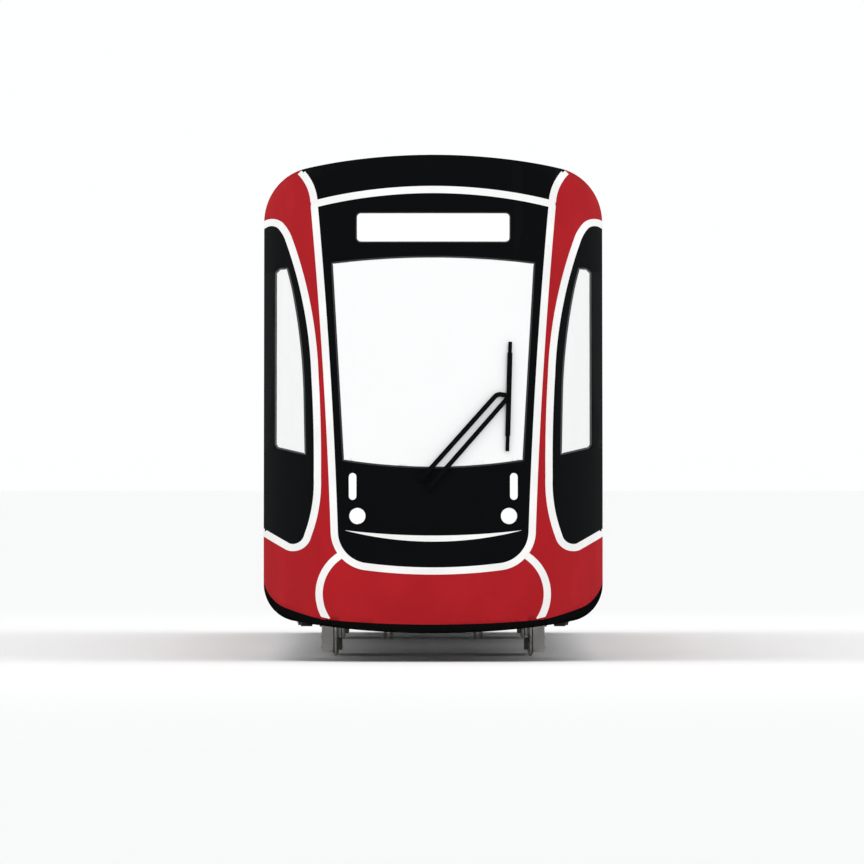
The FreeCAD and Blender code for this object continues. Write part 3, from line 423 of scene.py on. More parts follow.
@dataclass(frozen=True)
class Glazing:
    """Pale coated safety glass with faint wiping marks."""

    name: str
    tint: Colour = (0.86, 0.9, 0.91)
    cover: float = 0.62
    smear: float = 0.05
    gloss: float = 1.0
    specular: float = 0.5

    def make(self) -> Material:
        """Lays the glass.

        Returns:
            The finished material.
        """
        shader = Shader(self.name)
        smears = shader.noise(0.4, 4.0, (1.0, 1.0, 2.5))
        dust = (1 - shader.along(2).ramp(0.7, 1.6)) * smears
        shader.feed(
            colour=shader.blend(dust * 0.3, self.tint, (0.62, 0.6, 0.56)),
            alpha=(self.cover + self.smear * smears + 0.12 * dust).ramp(0.0, 1.0),
            rough=0.04 + 0.06 * smears,
            coat=self.gloss * (1.0 - 0.3 * dust),
            coat_rough=0.02,
            specular=self.specular,
            ior=1.52,
        )
        return shader.bump(shader.noise(1.6, 1.0), 0.0015, 0.1).material


@dataclass(frozen=True)
class Rubber:
    """Moulded black rubber, chalky where the weather reaches it."""

    name: str
    colour: Colour = (0.018, 0.018, 0.019)
    bloom: float = 0.35

    def make(self) -> Material:
        """Lays the rubber.

        Returns:
            The finished material.
        """
        shader = Shader(self.name)
        patches = shader.noise(0.12, 5.0).ramp(0.42, 0.78)
        grain = shader.noise(0.0022, 2.0)
        shader.feed(
            colour=shader.blend(patches * self.bloom, self.colour, (0.075, 0.073, 0.07)),
            rough=0.62 + 0.2 * patches,
            specular=0.35,
        )
        return shader.bump(grain, 0.0005, 0.4).material


@dataclass(frozen=True)
class Moulding:
    """Injection-moulded or hand-laid plastic with a fine leather-like grain."""

    name: str
    colour: Colour
    rough: float = 0.5
    grain: float = 0.0018
    specular: float = 0.4

    def make(self) -> Material:
        """Lays the plastic.

        Returns:
            The finished material.
        """
        shader = Shader(self.name)
        wear = shader.noise(0.22, 4.0)
        pebbles = shader.cells(self.grain)
        shader.feed(
            colour=shader.blend(wear.ramp(0.3, 0.8), scaled(self.colour, 0.9), self.colour),
            rough=self.rough + 0.14 * wear,
            specular=self.specular,
        )
        return shader.bump(pebbles, 0.0003, 0.5).material


@dataclass(frozen=True)
class Metal:
    """Bare metal, turned, brushed or cast, with rust or dust in its dull parts."""

    name: str
    colour: Colour
    rough: float = 0.35
    stain: Colour = (0.16, 0.085, 0.045)
    stained: float = 0.3
    brushed: Colour = (1, 1, 1)

    def make(self) -> Material:
        """Lays the metal.

        Returns:
            The finished material.
        """
        shader = Shader(self.name)
        blotches = shader.noise(0.045, 6.0)
        rust = blotches.ramp(0.66 - 0.4 * self.stained, 0.86) * self.stained * 2.0
        lines = shader.noise(0.0015, 2.0, self.brushed)
        shader.feed(
            colour=shader.blend(rust.ramp(0.0, 1.0), self.colour, self.stain),
            metal=1.0 - 0.85 * rust,
            rough=self.rough + 0.14 * lines + 0.35 * rust,
        )
        return shader.bump(lines + blotches * 0.6, 0.0003, 0.4).material


@dataclass(frozen=True)
class Woven:
    """Moquette: a short cut pile woven in two tones, paler along rubbed edges, with painted highlights on
    the crests of its weave.
    """

    name: str
    ground: Colour
    fleck: Colour
    pitch: float = 0.004

    def make(self) -> Material:
        """Lays the cloth.

        Returns:
            The finished material.
        """
        shader = Shader(self.name)
        across = (shader.along(0) + shader.along(2) * 0.35).wave(self.pitch)
        along = (shader.along(1) + shader.along(2)).wave(self.pitch)
        weave = across * along
        motif = shader.cells(0.055)
        flecks = (1 - motif.ramp(0.16, 0.3)) * 0.85
        worn = shader.noise(0.25, 3.0).ramp(0.4, 0.8)
        cloth = shader.blend(flecks, self.ground, self.fleck)
        # Painted highlight: the crests of the weave, which the bump raises, are lightened towards a brighter
        # copy of the ground colour.
        painted_crest_highlight = shader.blend(weave * 0.35, cloth, scaled(self.ground, 2.1))
        shader.feed(
            colour=shader.blend(worn * 0.18, painted_crest_highlight, (0.32, 0.32, 0.33)),
            rough=0.88 - 0.08 * worn,
            sheen=0.5,
            sheen_rough=0.4,
        )
        return shader.bump(weave, 0.0008, 0.5).material


@dataclass(frozen=True)
class FloorCover:
    """Non-slip sheet flooring: grey with fine chips, duller where people walk."""

    name: str
    colour: Colour

    def make(self) -> Material:
        """Lays the flooring.

        Returns:
            The finished material.
        """
        shader = Shader(self.name)
        chips = shader.cells(0.009)
        pale = (1 - chips.ramp(0.12, 0.2)) * (shader.noise(0.02, 1.0) > 0.52)
        tread = 1 - abs(shader.along(0)).ramp(0.15, 0.7)
        shader.feed(
            colour=shader.blend(pale * 0.7, self.colour, scaled(self.colour, 2.4)),
            rough=0.62 + 0.14 * tread * shader.noise(0.3, 3.0),
        )
        return shader.bump(chips, 0.0006, 0.35).material


@dataclass(frozen=True)
class Glow:
    """A diffusing cover with light behind it."""

    name: str
    colour: Colour
    power: float
    cell: float = 0.0

    def make(self) -> Material:
        """Lays the cover, with a grid of small lights if it has one.

        Returns:
            The finished material.
        """
        shader = Shader(self.name)
        haze = shader.noise(0.15, 2.0)
        shade = shader.blend(haze, scaled(self.colour, 0.94), self.colour)
        if self.cell:
            dots = shader.along(0).wave(self.cell) * shader.along(2).wave(self.cell)
            shade = shader.blend(dots * 0.12, shade, scaled(self.colour, 0.6))
            shader.bump(dots, 0.0006, 0.3)
        return shader.feed(
            colour=shade, glow=shade, glow_power=self.power, rough=0.22 + 0.1 * haze, coat=0.6
        ).material


def scaled(colour: Colour, amount: float) -> Colour:
    """A shade of the colour, held at 1, and lighter where the amount is above 1."""
    return tuple(min(1.0, part * amount) for part in colour)


class Paintshop:
    """Every finish of the tram, each made once."""

    FINISHES = (
        Paint("gloss_red", (0.42, 0.0155, 0.0205), film=0.04),
        Paint("gloss_black", (0.0035, 0.0042, 0.0046), film=0.03),
        Paint("gloss_white", (0.94, 0.94, 0.93), film=0.04),
        Shell("coach_shell", (0.0035, 0.0042, 0.0046), (0.72, 0.73, 0.72), 1.075),
        Paint("equipment_grey", (0.46, 0.475, 0.48), 0.45, 0.3, specular=0.3),
        Paint("bogie_grey", (0.028, 0.03, 0.032), 0.6, 0.05, specular=0.2, film=0.1),
        Moulding("cab_lining", (0.5, 0.51, 0.51)),
        Moulding("console_grey", (0.06, 0.063, 0.068), 0.55),
        Moulding("seat_shell", (0.13, 0.14, 0.155), 0.42),
        Glazing("front_glass", (0.95, 0.965, 0.965), cover=0.86),
        Glazing("cab_pane", (0.006, 0.007, 0.0075), 0.97, 0.01, 0.02, 0.0),
        Glazing("quarter_glass", (0.94, 0.96, 0.96), cover=0.8),
        Glazing("side_glass", (0.3, 0.34, 0.34), cover=0.16, smear=0.03),
        Glow("sign_panel", (0.9, 0.9, 0.88), 0.12, cell=0.012),
        Glow("lamp_lens", (0.95, 0.95, 0.92), 0.12),
        Glow("ceiling_light", (1.0, 0.97, 0.92), 5.0),
        Glow("tail_red", (0.62, 0.012, 0.012), 0.5),
        Rubber("rubber"),
        Moulding("apron_black", (0.0045, 0.0048, 0.005), 0.6, 0.002, 0.0),
        Rubber("bellows_cloth", (0.042, 0.043, 0.046), bloom=0.5),
        Moulding("wiper_black", (0.004, 0.004, 0.0045), 0.5, 0.001, 0.02),
        Metal("wheel_steel", (0.13, 0.12, 0.11), 0.5, stained=0.45),
        Metal("tread_steel", (0.66, 0.65, 0.63), 0.16, stained=0.08),
        Metal("bright_steel", (0.72, 0.73, 0.74), 0.24, stained=0.0, brushed=(1, 1, 30)),
        Moulding("carbon", (0.022, 0.022, 0.024), 0.42, 0.0012),
        Moulding("insulator", (0.17, 0.035, 0.022), 0.3, 0.004),
        Paint("pantograph_grey", (0.3, 0.31, 0.32), 0.45, 0.2, specular=0.3),
        Woven("seat_moquette", (0.034, 0.042, 0.07), (0.34, 0.02, 0.024)),
        FloorCover("floor_cover", (0.12, 0.125, 0.13)),
        Paint("grab_yellow", (0.62, 0.34, 0.012), 0.4, specular=0.3, film=0.0),
        Glow("button_green", (0.05, 0.6, 0.12), 0.8),
        Glow("desk_screen", (0.03, 0.06, 0.09), 0.6, cell=0.004),
    )

    def __init__(self) -> None:
        """Lists the finishes by name, with nothing mixed yet."""
        self.recipes = {each.name: each for each in self.FINISHES}
        self.mixed: dict[str, Material] = {}

    def __getitem__(self, name: str) -> Material:
        """The named finish, mixed on first use.

        Args:
            name: its name.

        Returns:
            Its material.
        """
        if name not in self.mixed:
            self.mixed[name] = self.recipes[name].make()
        return self.mixed[name]


# Modelling


def alone(made: bpy.types.Object) -> None:
    """Leaves one object selected and active.

    Args:
        made: the object to work on.
    """
    bpy.ops.object.select_all(action="DESELECT")
    made.select_set(True)
    bpy.context.view_layer.objects.active = made


class Form:
    """A mesh being modelled with Blender's own operators."""

    def __init__(self, made: bpy.types.Object) -> None:
        """Takes an object to shape."""
        self.made = made

    @classmethod
    def block(cls, name: str, low: Point, high: Point) -> Form:
        """A cuboid to start from.

        Args:
            name: the piece's name.
            low: its lowest corner.
            high: its highest corner.

        Returns:
            The form.
        """
        middle = [(a + b) / 2 for a, b in zip(low, high)]
        sides = [b - a for a, b in zip(low, high)]
        bpy.ops.object.select_all(action="DESELECT")
        bpy.ops.mesh.primitive_cube_add(size=1, location=middle, scale=sides)
        return cls._begun(name)

    @classmethod
    def drum(
        cls, name: str, middle: Point, radius: float, length: float, axis: Axis = Axis.UP,
        sides: int = 32,
    ) -> Form:
        """A round bar or disc to start from.

        Args:
            name: the piece's name.
            middle: its middle.
            radius: its radius.
            length: its length along the axis.
            axis: the way it points.
            sides: how many flats go round it.

        Returns:
            The form.
        """
        bpy.ops.object.select_all(action="DESELECT")
        bpy.ops.mesh.primitive_cylinder_add(
            vertices=sides, radius=radius, depth=length, location=middle, rotation=axis.value
        )
        return cls._begun(name)

    @classmethod
    def _begun(cls, name: str) -> Form:
        """Names the new primitive and sets its place into its mesh.

        Args:
            name: the piece's name.

        Returns:
            The form.
        """
        made = bpy.context.active_object
        made.name = name
        made.data.name = name
        bpy.ops.object.transform_apply(location=True, rotation=True, scale=True)
        return cls(made)

    def _edit(self, kind: str, whole: bool = False) -> bmesh.types.BMesh:
        """Goes into edit mode for one kind of element.

        Args:
            kind: VERT, EDGE or FACE.
            whole: whether all of the mesh is selected, or else nothing.

        Returns:
            The mesh being edited.
        """
        alone(self.made)
        bpy.ops.object.mode_set(mode="EDIT")
        bpy.ops.mesh.select_mode(type=kind)
        bpy.ops.mesh.select_all(action="SELECT" if whole else "DESELECT")
        return bmesh.from_edit_mesh(self.made.data)

    def _leave(self) -> Form:
        """Leaves edit mode."""
        bpy.ops.object.mode_set(mode="OBJECT")
        return self

    def _pick(self, test: Test) -> bool:
        """Selects faces in edit mode.

        Args:
            test: is given each face's middle and normal.

        Returns:
            Whether any passes.
        """
        mesh = self._edit("FACE")
        picked = [face for face in mesh.faces if test(face.calc_center_median(), face.normal)]
        for face in picked:
            face.select_set(True)
        bmesh.update_edit_mesh(self.made.data)
        return bool(picked)

    def _whole(self, kind: str, operator: Callable[..., Any], **options: Any) -> Form:
        """Runs one operator on the whole mesh.

        Args:
            kind: VERT, EDGE or FACE.
            operator: the mesh operator.
            options: its settings.

        Returns:
            This form.
        """
        self._edit(kind, whole=True)
        operator(**options)
        return self._leave()

    def bevel(self, width: float, rounds: int = 2) -> Form:
        """Bevels every sharp edge.

        Args:
            width: the width of the bevel.
            rounds: how many steps round it.

        Returns:
            This form.
        """
        self._edit("EDGE")
        bpy.ops.mesh.edges_select_sharp(sharpness=SHARP_ANGLE)
        bpy.ops.mesh.bevel(offset=width, segments=rounds, affect="EDGES")
        return self._leave()

    def resize(self, test: Test, by: Point) -> Form:
        """Scales the faces that pass the test about their own middle.

        Args:
            test: picks faces by middle and normal.
            by: how much, along each axis.

        Returns:
            This form.
        """
        if self._pick(test):
            bpy.ops.transform.resize(value=tuple(by))
        return self._leave()

    def copy(self, name: str, way: Point = (0, 0, 0), half_turn: bool = False) -> Form:
        """A copy with a mesh of its own.

        Args:
            name: the copy's name.
            way: how far it is moved.
            half_turn: whether it is first turned half round the tram's middle.

        Returns:
            The copy.
        """
        other = copied(name, self.made)
        turn = Matrix.Rotation(math.pi, 4, "Z") if half_turn else Matrix()
        other.made.data.transform(Matrix.Translation(way) @ turn)
        return other

    def merged(self) -> Form:
        """Merges doubled corners and takes out slivers."""
        self._whole("VERT", bpy.ops.mesh.remove_doubles, threshold=MERGE_REACH)
        return self._whole("VERT", bpy.ops.mesh.dissolve_degenerate, threshold=MERGE_REACH)

    def even_shading(self) -> Form:
        """Lets large faces lead the shading of the corners that they share.

        Returns:
            This form.
        """
        alone(self.made)
        weigh = self.made.modifiers.new("even", "WEIGHTED_NORMAL")
        weigh.keep_sharp = True
        bpy.ops.object.modifier_apply(modifier=weigh.name)
        return self

    def turned(self, degrees: float, axis: str, about: Point) -> Form:
        """Turns the mesh about a point.

        Args:
            degrees: how far.
            axis: X, Y or Z.
            about: the point that stays.

        Returns:
            This form.
        """
        place = Matrix.Translation(about)
        turn = Matrix.Rotation(math.radians(degrees), 4, axis)
        self.made.data.transform(place @ turn @ place.inverted())
        return self

    @classmethod
    def plate(
        cls, name: str, outline: Sequence[Point], low: float, high: float, axis: Axis
    ) -> Form:
        """A flat outline with a thickness along an axis.

        Args:
            name: the piece's name.
            outline: the corners in the plane across the axis, in the order of the other two axes.
            low: where the plate begins along the axis.
            high: where it ends.
            axis: the way that its thickness goes.

        Returns:
            The form.
        """
        index = {Axis.ACROSS: 0, Axis.ALONG: 1, Axis.UP: 2}[axis]
        bpy.ops.object.select_all(action="DESELECT")
        bpy.ops.mesh.primitive_circle_add(vertices=len(outline), radius=1, fill_type="NGON")
        form = cls._begun(name)
        for corner, point in zip(form.made.data.vertices, outline):
            place = list(point)
            place.insert(index, low)
            corner.co = place
        way = [0.0, 0.0, 0.0]
        way[index] = high - low
        move = {"value": tuple(way)}
        form._whole("FACE", bpy.ops.mesh.extrude_region_move, TRANSFORM_OT_translate=move)
        return form.outward()

    @classmethod
    def hoop(
        cls, name: str, middle: Point, radius: float, thick: float, axis: Axis = Axis.UP,
        sides: int = 32,
    ) -> Form:
        """A round ring of round section.

        Args:
            name: the piece's name.
            middle: its middle.
            radius: from its middle to the middle of its section.
            thick: the radius of its section.
            axis: the axis that it goes round.
            sides: how many steps go round it.

        Returns:
            The form.
        """
        bpy.ops.object.select_all(action="DESELECT")
        bpy.ops.mesh.primitive_torus_add(
            major_radius=radius,
            minor_radius=thick,
            major_segments=sides,
            minor_segments=10,
            location=middle,
            rotation=axis.value,
        )
        return cls._begun(name)

    @classmethod
    def pipe(cls, name: str, points: Sequence[Point], radius: float) -> Form:
        """A bent pipe of even thickness.

        Args:
            name: the piece's name.
            points: the points that guide its smooth line.
            radius: its radius.

        Returns:
            The form.
        """
        bpy.ops.object.select_all(action="DESELECT")
        bpy.ops.curve.primitive_nurbs_path_add()
        curve = bpy.context.active_object.data
        curve.splines.clear()
        line = curve.splines.new("NURBS")
        line.points.add(len(points) - 1)
        for spot, point in zip(line.points, points):
            spot.co = (*point, 1.0)
        line.order_u = 3
        line.use_endpoint_u = True
        line.resolution_u = 6
        curve.bevel_depth = radius
        curve.bevel_resolution = 2
        curve.use_fill_caps = True
        bpy.ops.object.convert(target="MESH")
        return cls._begun(name)

    @classmethod
    def ribbon(
        cls, name: str, points: Sequence[Vector], wide: float, facing: Point, closed: bool
    ) -> Form:
        """A flat strip along a line.

        Args:
            name: the piece's name.
            points: the line's points.
            wide: the strip's width.
            facing: the way that its flat side looks.
            closed: whether the last point meets the first.

        Returns:
            The form, with no thickness yet.
        """
        shares = (-1.0, -0.45, 0.45, 1.0)
        bpy.ops.object.select_all(action="DESELECT")
        bpy.ops.mesh.primitive_grid_add(
            x_subdivisions=len(points) - 1, y_subdivisions=len(shares) - 1, size=1
        )
        form = cls._begun(name)
        corners = form.columns()
        look = Vector(facing)
        last = len(points) - 1
        for index, point in enumerate(points):
            before = points[index - 1] if index else (points[-2] if closed else point)
            after = points[index + 1] if index < last else (points[1] if closed else point)
            along = (after - before).normalized()
            out = along.cross(look).normalized()
            if not closed and index in (0, last) and look.y and abs(point.x) > 1.15 and along.x:
                out = Vector((0.0, 0.0, 1.0 / max(abs(along.x), 0.5))) * (1 if out.z > 0 else -1)
            for place, share in enumerate(shares):
                corners[index * len(shares) + place].co = point + out * (wide / 2) * share
        return form.merged() if closed else form

    def columns(self) -> list[bpy.types.MeshVertex]:
        """The corners of a flat grid, column by column."""
        return sorted(self.made.data.vertices, key=lambda v: (round(v.co.x, 5), v.co.y))

    def outward(self) -> Form:
        """Turns every face to look outwards."""
        return self._whole("FACE", bpy.ops.mesh.normals_make_consistent, inside=False)

    def thickened(self, thick: float, towards: Point) -> Form:
        """Gives a flat form a thickness on the side that looks one way.

        Args:
            thick: how thick.
            towards: the way that the new side looks.

        Returns:
            This form.
        """
        look = Vector(towards)
        lean = sum(face.normal.dot(look) for face in self.made.data.polygons)
        alone(self.made)
        solid = self.made.modifiers.new("thick", "SOLIDIFY")
        solid.thickness = thick
        solid.offset = 1.0 if lean > 0 else -1.0
        bpy.ops.object.modifier_apply(modifier=solid.name)
        return self.outward()

    def both_sides(self) -> Form:
        """Adds the mirror image on the other side of the tram's middle plane.

        Returns:
            The joined form.
        """
        other = self.copy("mirror_image")
        other.made.data.transform(Matrix.Scale(-1, 4, (1, 0, 0)))
        other._whole("FACE", bpy.ops.mesh.flip_normals)
        return joined(self.made.name, [self, other])

    def bisected(self, point: Point, outside: Point) -> Form:
        """Cuts off what lies outside the plane through the point and closes the cut."""
        plane = {"plane_co": point, "plane_no": outside}
        return self._whole("FACE", bpy.ops.mesh.bisect, **plane, use_fill=True, clear_outer=True)

    def accent(self, test: Test, finish: Material) -> Form:
        """Gives the faces that pass the test a finish of their own.

        Args:
            test: picks faces by middle and normal.
            finish: their material.

        Returns:
            This form.
        """
        self.made.data.materials.append(finish)
        if self._pick(test):
            self.made.active_material_index = len(self.made.data.materials) - 1
            bpy.ops.object.material_slot_assign()
        return self._leave()

    def pair(self, body: str, finish: Material, replaces: str | None = None) -> None:
        """Finishes a piece, and on a cab car a copy of it, turned half round, for the rear one.

        Args:
            body: the piece's body.
            finish: its material.
            replaces: the front node that it stands for, if any.
        """
        if not body.startswith("front_"):
            self.finish(body, finish)
            return
        other = self.copy(self.made.name.replace("front_", "rear_", 1), half_turn=True)
        self.finish(body, finish)
        other.finish(body.replace("front_", "rear_", 1), finish)
        if replaces:
            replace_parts(self.made, replaces)
            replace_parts(other.made, replaces.replace("front_", "rear_", 1))

    def finish(self, body: str, finish: Material, slot: str | None = None) -> bpy.types.Object:
        """Smooths the piece, dresses it and sets it on its body.

        Args:
            body: the body that it rides on.
            finish: its material.
            slot: not used.

        Returns:
            The finished piece.
        """
        alone(self.made)
        bpy.ops.object.shade_smooth_by_angle(angle=SHADE_ANGLE)
        self.made.data.materials.clear()
        self.made.data.materials.append(finish)
        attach(self.made, body)
        return self.made


def copied(name: str, source: bpy.types.Object) -> Form:
    """Copies an object as a form with a mesh of its own.

    Args:
        name: the copy's name.
        source: the object, whose place is in its mesh.

    Returns:
        The copy.
    """
    made = bpy.data.objects.new(name, source.data.copy())
    bpy.context.scene.collection.objects.link(made)
    return Form(made)


def joined(name: str, forms: Iterable[Form]) -> Form:
    """Joins several forms into one mesh.

    Args:
        name: the new piece's name.
        forms: the forms, of which at least one.

    Returns:
        The joined form.
    """
    pieces = [each.made for each in forms]
    alone(pieces[0])
    for each in pieces[1:]:
        each.select_set(True)
    if len(pieces) > 1:
        bpy.ops.object.join()
    pieces[0].name = name
    pieces[0].data.name = name
    return Form(pieces[0])


def spread(name: str, model: Form, places: Iterable[Point]) -> Form:
    """Copies a small form to many places and joins the copies.

    Args:
        name: the new piece's name.
        model: the form, built about the origin, which is used up.
        places: where the copies go.

    Returns:
        The joined form.
    """
    copies = [model.copy(f"{name}_part", place) for place in places]
    bpy.data.objects.remove(model.made)
    return joined(name, copies)


def bolt_head(size: float, high: float, axis: Axis) -> Form:
    """A hexagon head on its washer, standing on the origin.

    Args:
        size: half the width across the corners.
        high: the height of the head.
        axis: the way that it points.

    Returns:
        The form.
    """
    way = {Axis.ACROSS: (1, 0, 0), Axis.ALONG: (0, -1, 0), Axis.UP: (0, 0, 1)}[axis]
    above, below = ([part * high * share for part in way] for share in (0.6, 0.1))
    head = Form.drum("bolt", above, size, high * 0.8, axis, 6).bevel(size * 0.12, rounds=1)
    washer = Form.drum("washer", below, size * 1.35, high * 0.2, axis, 16)
    return joined("bolt", [head, washer])


def around(middle: Point, radius: float, count: int, axis: Axis) -> list[Vector]:
    """Evenly spaced points on a circle.

    Args:
        middle: the circle's middle.
        radius: its radius.
        count: how many points.
        axis: the axis that it goes round.

    Returns:
        The points.
    """
    points = []
    for index in range(count):
        angle = 2 * math.pi * (index + 0.5) / count
        a, b = radius * math.cos(angle), radius * math.sin(angle)
        step = {Axis.ACROSS: (0, a, b), Axis.ALONG: (a, 0, b), Axis.UP: (a, b, 0)}[axis]
        points.append(Vector(middle) + Vector(step))
    return points


@dataclass(frozen=True)
class Run:
    """One stretch of a line: its end, and the radius of the arc that leads to it.

    A radius of nought is a straight stretch. A radius above nought turns left
    on the way round, and one below nought turns right.
    """

    across: float
    up: float
    radius: float = 0.0


def traced(start: Span, runs: Sequence[Run], step: float) -> list[Vector]:
    """Points along a line of straight stretches and arcs, drawn in the XZ plane.

    Args:
        start: where the line begins.
        runs: its stretches in turn.
        step: the greatest spacing of the points.

    Returns:
        The points, with Y at nought.
    """
    here = Vector((start[0], 0.0, start[1]))
    points = [here]
    for run in runs:
        there = Vector((run.across, 0.0, run.up))
        chord = there - here
        count = max(1, math.ceil(chord.length / step))
        if run.radius:
            hand, half = (1 if run.radius > 0 else -1), chord.length / 2
            rise = math.sqrt(max(run.radius**2 - half**2, 0.0)) * hand
            middle = (here + there) / 2 + Vector((-chord.z, 0.0, chord.x)).normalized() * rise
            sweep = 2 * math.asin(min(1.0, half / abs(run.radius))) * hand
            count = max(count, math.ceil(abs(sweep) / ARC_STEP))
            for index in range(1, count + 1):
                turn = Matrix.Rotation(-sweep * index / count, 3, "Y")
                points.append(middle + turn @ (here - middle))
        else:
            points += [here.lerp(there, index / count) for index in range(1, count + 1)]
        here = there
    return points


def oblong(
    across: float, up: float, wide: float, tall: float, corner: float, step: float
) -> list[Vector]:
    """A closed rectangle with round corners, drawn in the XZ plane.

    Args:
        across: its middle across.
        up: its middle height.
        wide: its width.
        tall: its height.
        corner: the radius of its corners.
        step: the greatest spacing of its points.

    Returns:
        The points, the last on the first.
    """
    right, left = across + wide / 2, across - wide / 2
    top, foot = up + tall / 2, up - tall / 2
    runs = (
        Run(right - corner, foot), Run(right, foot + corner, corner),
        Run(right, top - corner), Run(right - corner, top, corner),
        Run(left + corner, top), Run(left, top - corner, corner),
        Run(left, foot + corner), Run(left + corner, foot, corner),
    )
    return traced((left + corner, foot), runs, step)


def sideways(points: Iterable[Vector], reach: float) -> list[Vector]:
    """Turns a line from the XZ plane to a side wall, where its X runs along the tram."""
    return [Vector((reach, point.x, point.z)) for point in points]


# The nose


@dataclass
class Nose:
    """One cab's front: its white lines, gaskets, lamp rims and wiper."""

    shop: Paintshop
    nodes: Nodes
    line_wide: float = 0.05
    line_proud: float = 0.0012
    step: float = 0.02
    launch: float = 12.0
    gasket_wide: float = 0.012
    rim_wide: float = 0.008
    lamp_place: Spot = (0.531, 1.022, 0.061)
    pill_place: tuple[float, ...] = (0.565, 1.229, 0.062, 0.197, 0.031)
    sign_place: tuple[float, ...] = (0.0, 3.0475, 1.08, 0.207, 0.032)
    smile_reach: float = 0.622
    smile_high: float = 0.922
    smile_radii: Span = (2.488, 5.247)
    wiper_bosses: tuple[Span, ...] = ((-0.0755, 1.290), (-0.0244, 1.225))
    wiper_arms: tuple[tuple[Span, ...], ...] = (
        (
            (-0.0853, 1.279), (0.16, 1.554), (0.425, 1.851), (0.443, 1.868), (0.466, 1.875),
            (0.52, 1.866),
        ),
        ((-0.034, 1.214), (0.20, 1.4815), (0.5185, 1.8455)),
    )
    arm_widths: Span = (0.034, 0.033)
    arm_thick: float = 0.009
    arm_lift: float = 0.026
    blade_ends: tuple[Span, Span] = ((0.5195, 1.475), (0.5405, 2.243))
    strip_edge: Spot = (0.760, 0.0, 0.3085)
    strip_outside: Spot = (0.235, 0.0, -0.972)
    under: tuple[str, ...] = (
        "cab_mask", "cab_panels", "cab_side_frames", "roof_cowl", "lower_apron", "windscreen",
        "destination_sign", "lamps", "windows",
    )
    skin: bpy.types.Object | None = None

    MASK = (
        Run(0.485, 0.669, 3.691), Run(0.693, 0.905, 0.25), Run(0.8375, 3.214, -40.0),
        Run(-0.8375, 3.214, 3.552), Run(-0.693, 0.905, -40.0), Run(-0.485, 0.669, 0.25),
        Run(0.0, 0.637, 3.691),
    )
    COWL_SIDE = (Run(0.936, 3.446, -0.335),)
    SIDE_FIELD = (
        Run(1.018, 0.802), Run(0.880, 0.883, -0.110), Run(0.812, 1.300, -1.060),
        Run(0.830, 2.005, -10.0), Run(1.014, 2.958, -3.117), Run(1.079, 3.070, -0.300),
        Run(1.198, 3.080, -0.105),
    )
    CHIN = (Run(0.651, 0.746, 0.322),)
    SCREEN = (
        Run(0.631, 1.412, 4.006), Run(0.711, 2.797), Run(-0.711, 2.797, 5.767),
        Run(-0.631, 1.412), Run(0.0, 1.362, 4.006),
    )
    QUARTER = (
        Run(1.096, 1.499), Run(1.111, 1.523), Run(1.111, 2.735), Run(1.081, 2.762),
        Run(1.028, 2.764), Run(0.981, 2.571, 2.0), Run(0.905, 1.852, 4.2),
        Run(0.897, 1.454),
    )
    # Each one's name, how far back it stands, its radius, length and sides, and its bevel
    SPINDLE = (
        ("spindle", 0.012, 0.016, 0.05, 28, 0.003, 2),
        ("boss", -0.006, 0.026, 0.014, 36, 0.004, 2),
        ("nut", -0.015, 0.012, 0.008, 6, 0.001, 1),
    )
    # Where each strip of the blade starts and ends, its lift, width and thickness
    BLADE = (
        (0.0, 1.0, 0.018, 0.027, 0.008),
        (0.0, 1.0, 0.008, 0.008, 0.007),
        (0.14, 0.9, 0.022, 0.036, 0.007),
    )

    def build(self) -> None:
        """Lays every line and fitting on the front, and copies them to the rear."""
        self.skin = self.whole()
        white, rubber = self.shop["gloss_white"], self.shop["rubber"]
        wide, narrow = self.line_wide, self.gasket_wide
        for name, start, runs, width, finish, twin in (
            ("mask_line", (0.0, 0.637), self.MASK, wide, white, False),
            ("cowl_line", (0.838, 3.228), self.COWL_SIDE, wide, white, True),
            ("side_field_line", (1.198, 0.899), self.SIDE_FIELD, wide, white, True),
            ("chin_line", (0.743, 0.292), self.CHIN, wide, white, True),
            ("screen_gasket", (0.0, 1.362), self.SCREEN, narrow, rubber, False),
            ("quarter_gasket", (0.897, 1.454), self.QUARTER, narrow, rubber, True),
        ):
            self.line(name, traced(start, runs, self.step), width, finish, twin)
        sign = oblong(*self.sign_place, self.step)
        self.line("sign_gasket", sign, self.rim_wide, rubber, False)
        self.smile(white)
        self.lamp_rims()
        self.wiper()
        bpy.data.objects.remove(self.skin)

    def whole(self) -> bpy.types.Object:
        """Joins copies of the front's outer pieces, for the lines to be dropped on."""
        forms = [copied(f"under_{name}", self.nodes[f"front_{name}"]) for name in self.under]
        return joined("nose_under", forms).made

    def touch(self, across: float, up: float) -> float:
        """How far forward the nose's surface lies at a place seen from the front."""
        hit, spot, *_ = self.skin.ray_cast((across, -self.launch, up), (0, 1, 0))
        return spot.y if hit else -11.0

    def line(
        self, name: str, points: list[Vector], wide: float, finish: Material, twin: bool
    ) -> None:
        """Lays one line on the nose, with its mirror image where it has one.

        Args:
            name: its name without its end.
            points: its middle line, seen from the front.
            wide: its width.
            finish: its material.
            twin: whether the other side has it too.
        """
        closed = (points[0] - points[-1]).length < MERGE_REACH
        start = [point - Vector((0, self.launch, 0)) for point in points]
        form = Form.ribbon(f"front_{name}", start, wide, FRONTWARDS, closed)
        form = self.dropped(form)
        if name == "chin_line":
            form.bisected(self.strip_edge, self.strip_outside)
        if twin:
            form = form.both_sides()
        form.pair("front_car", finish)

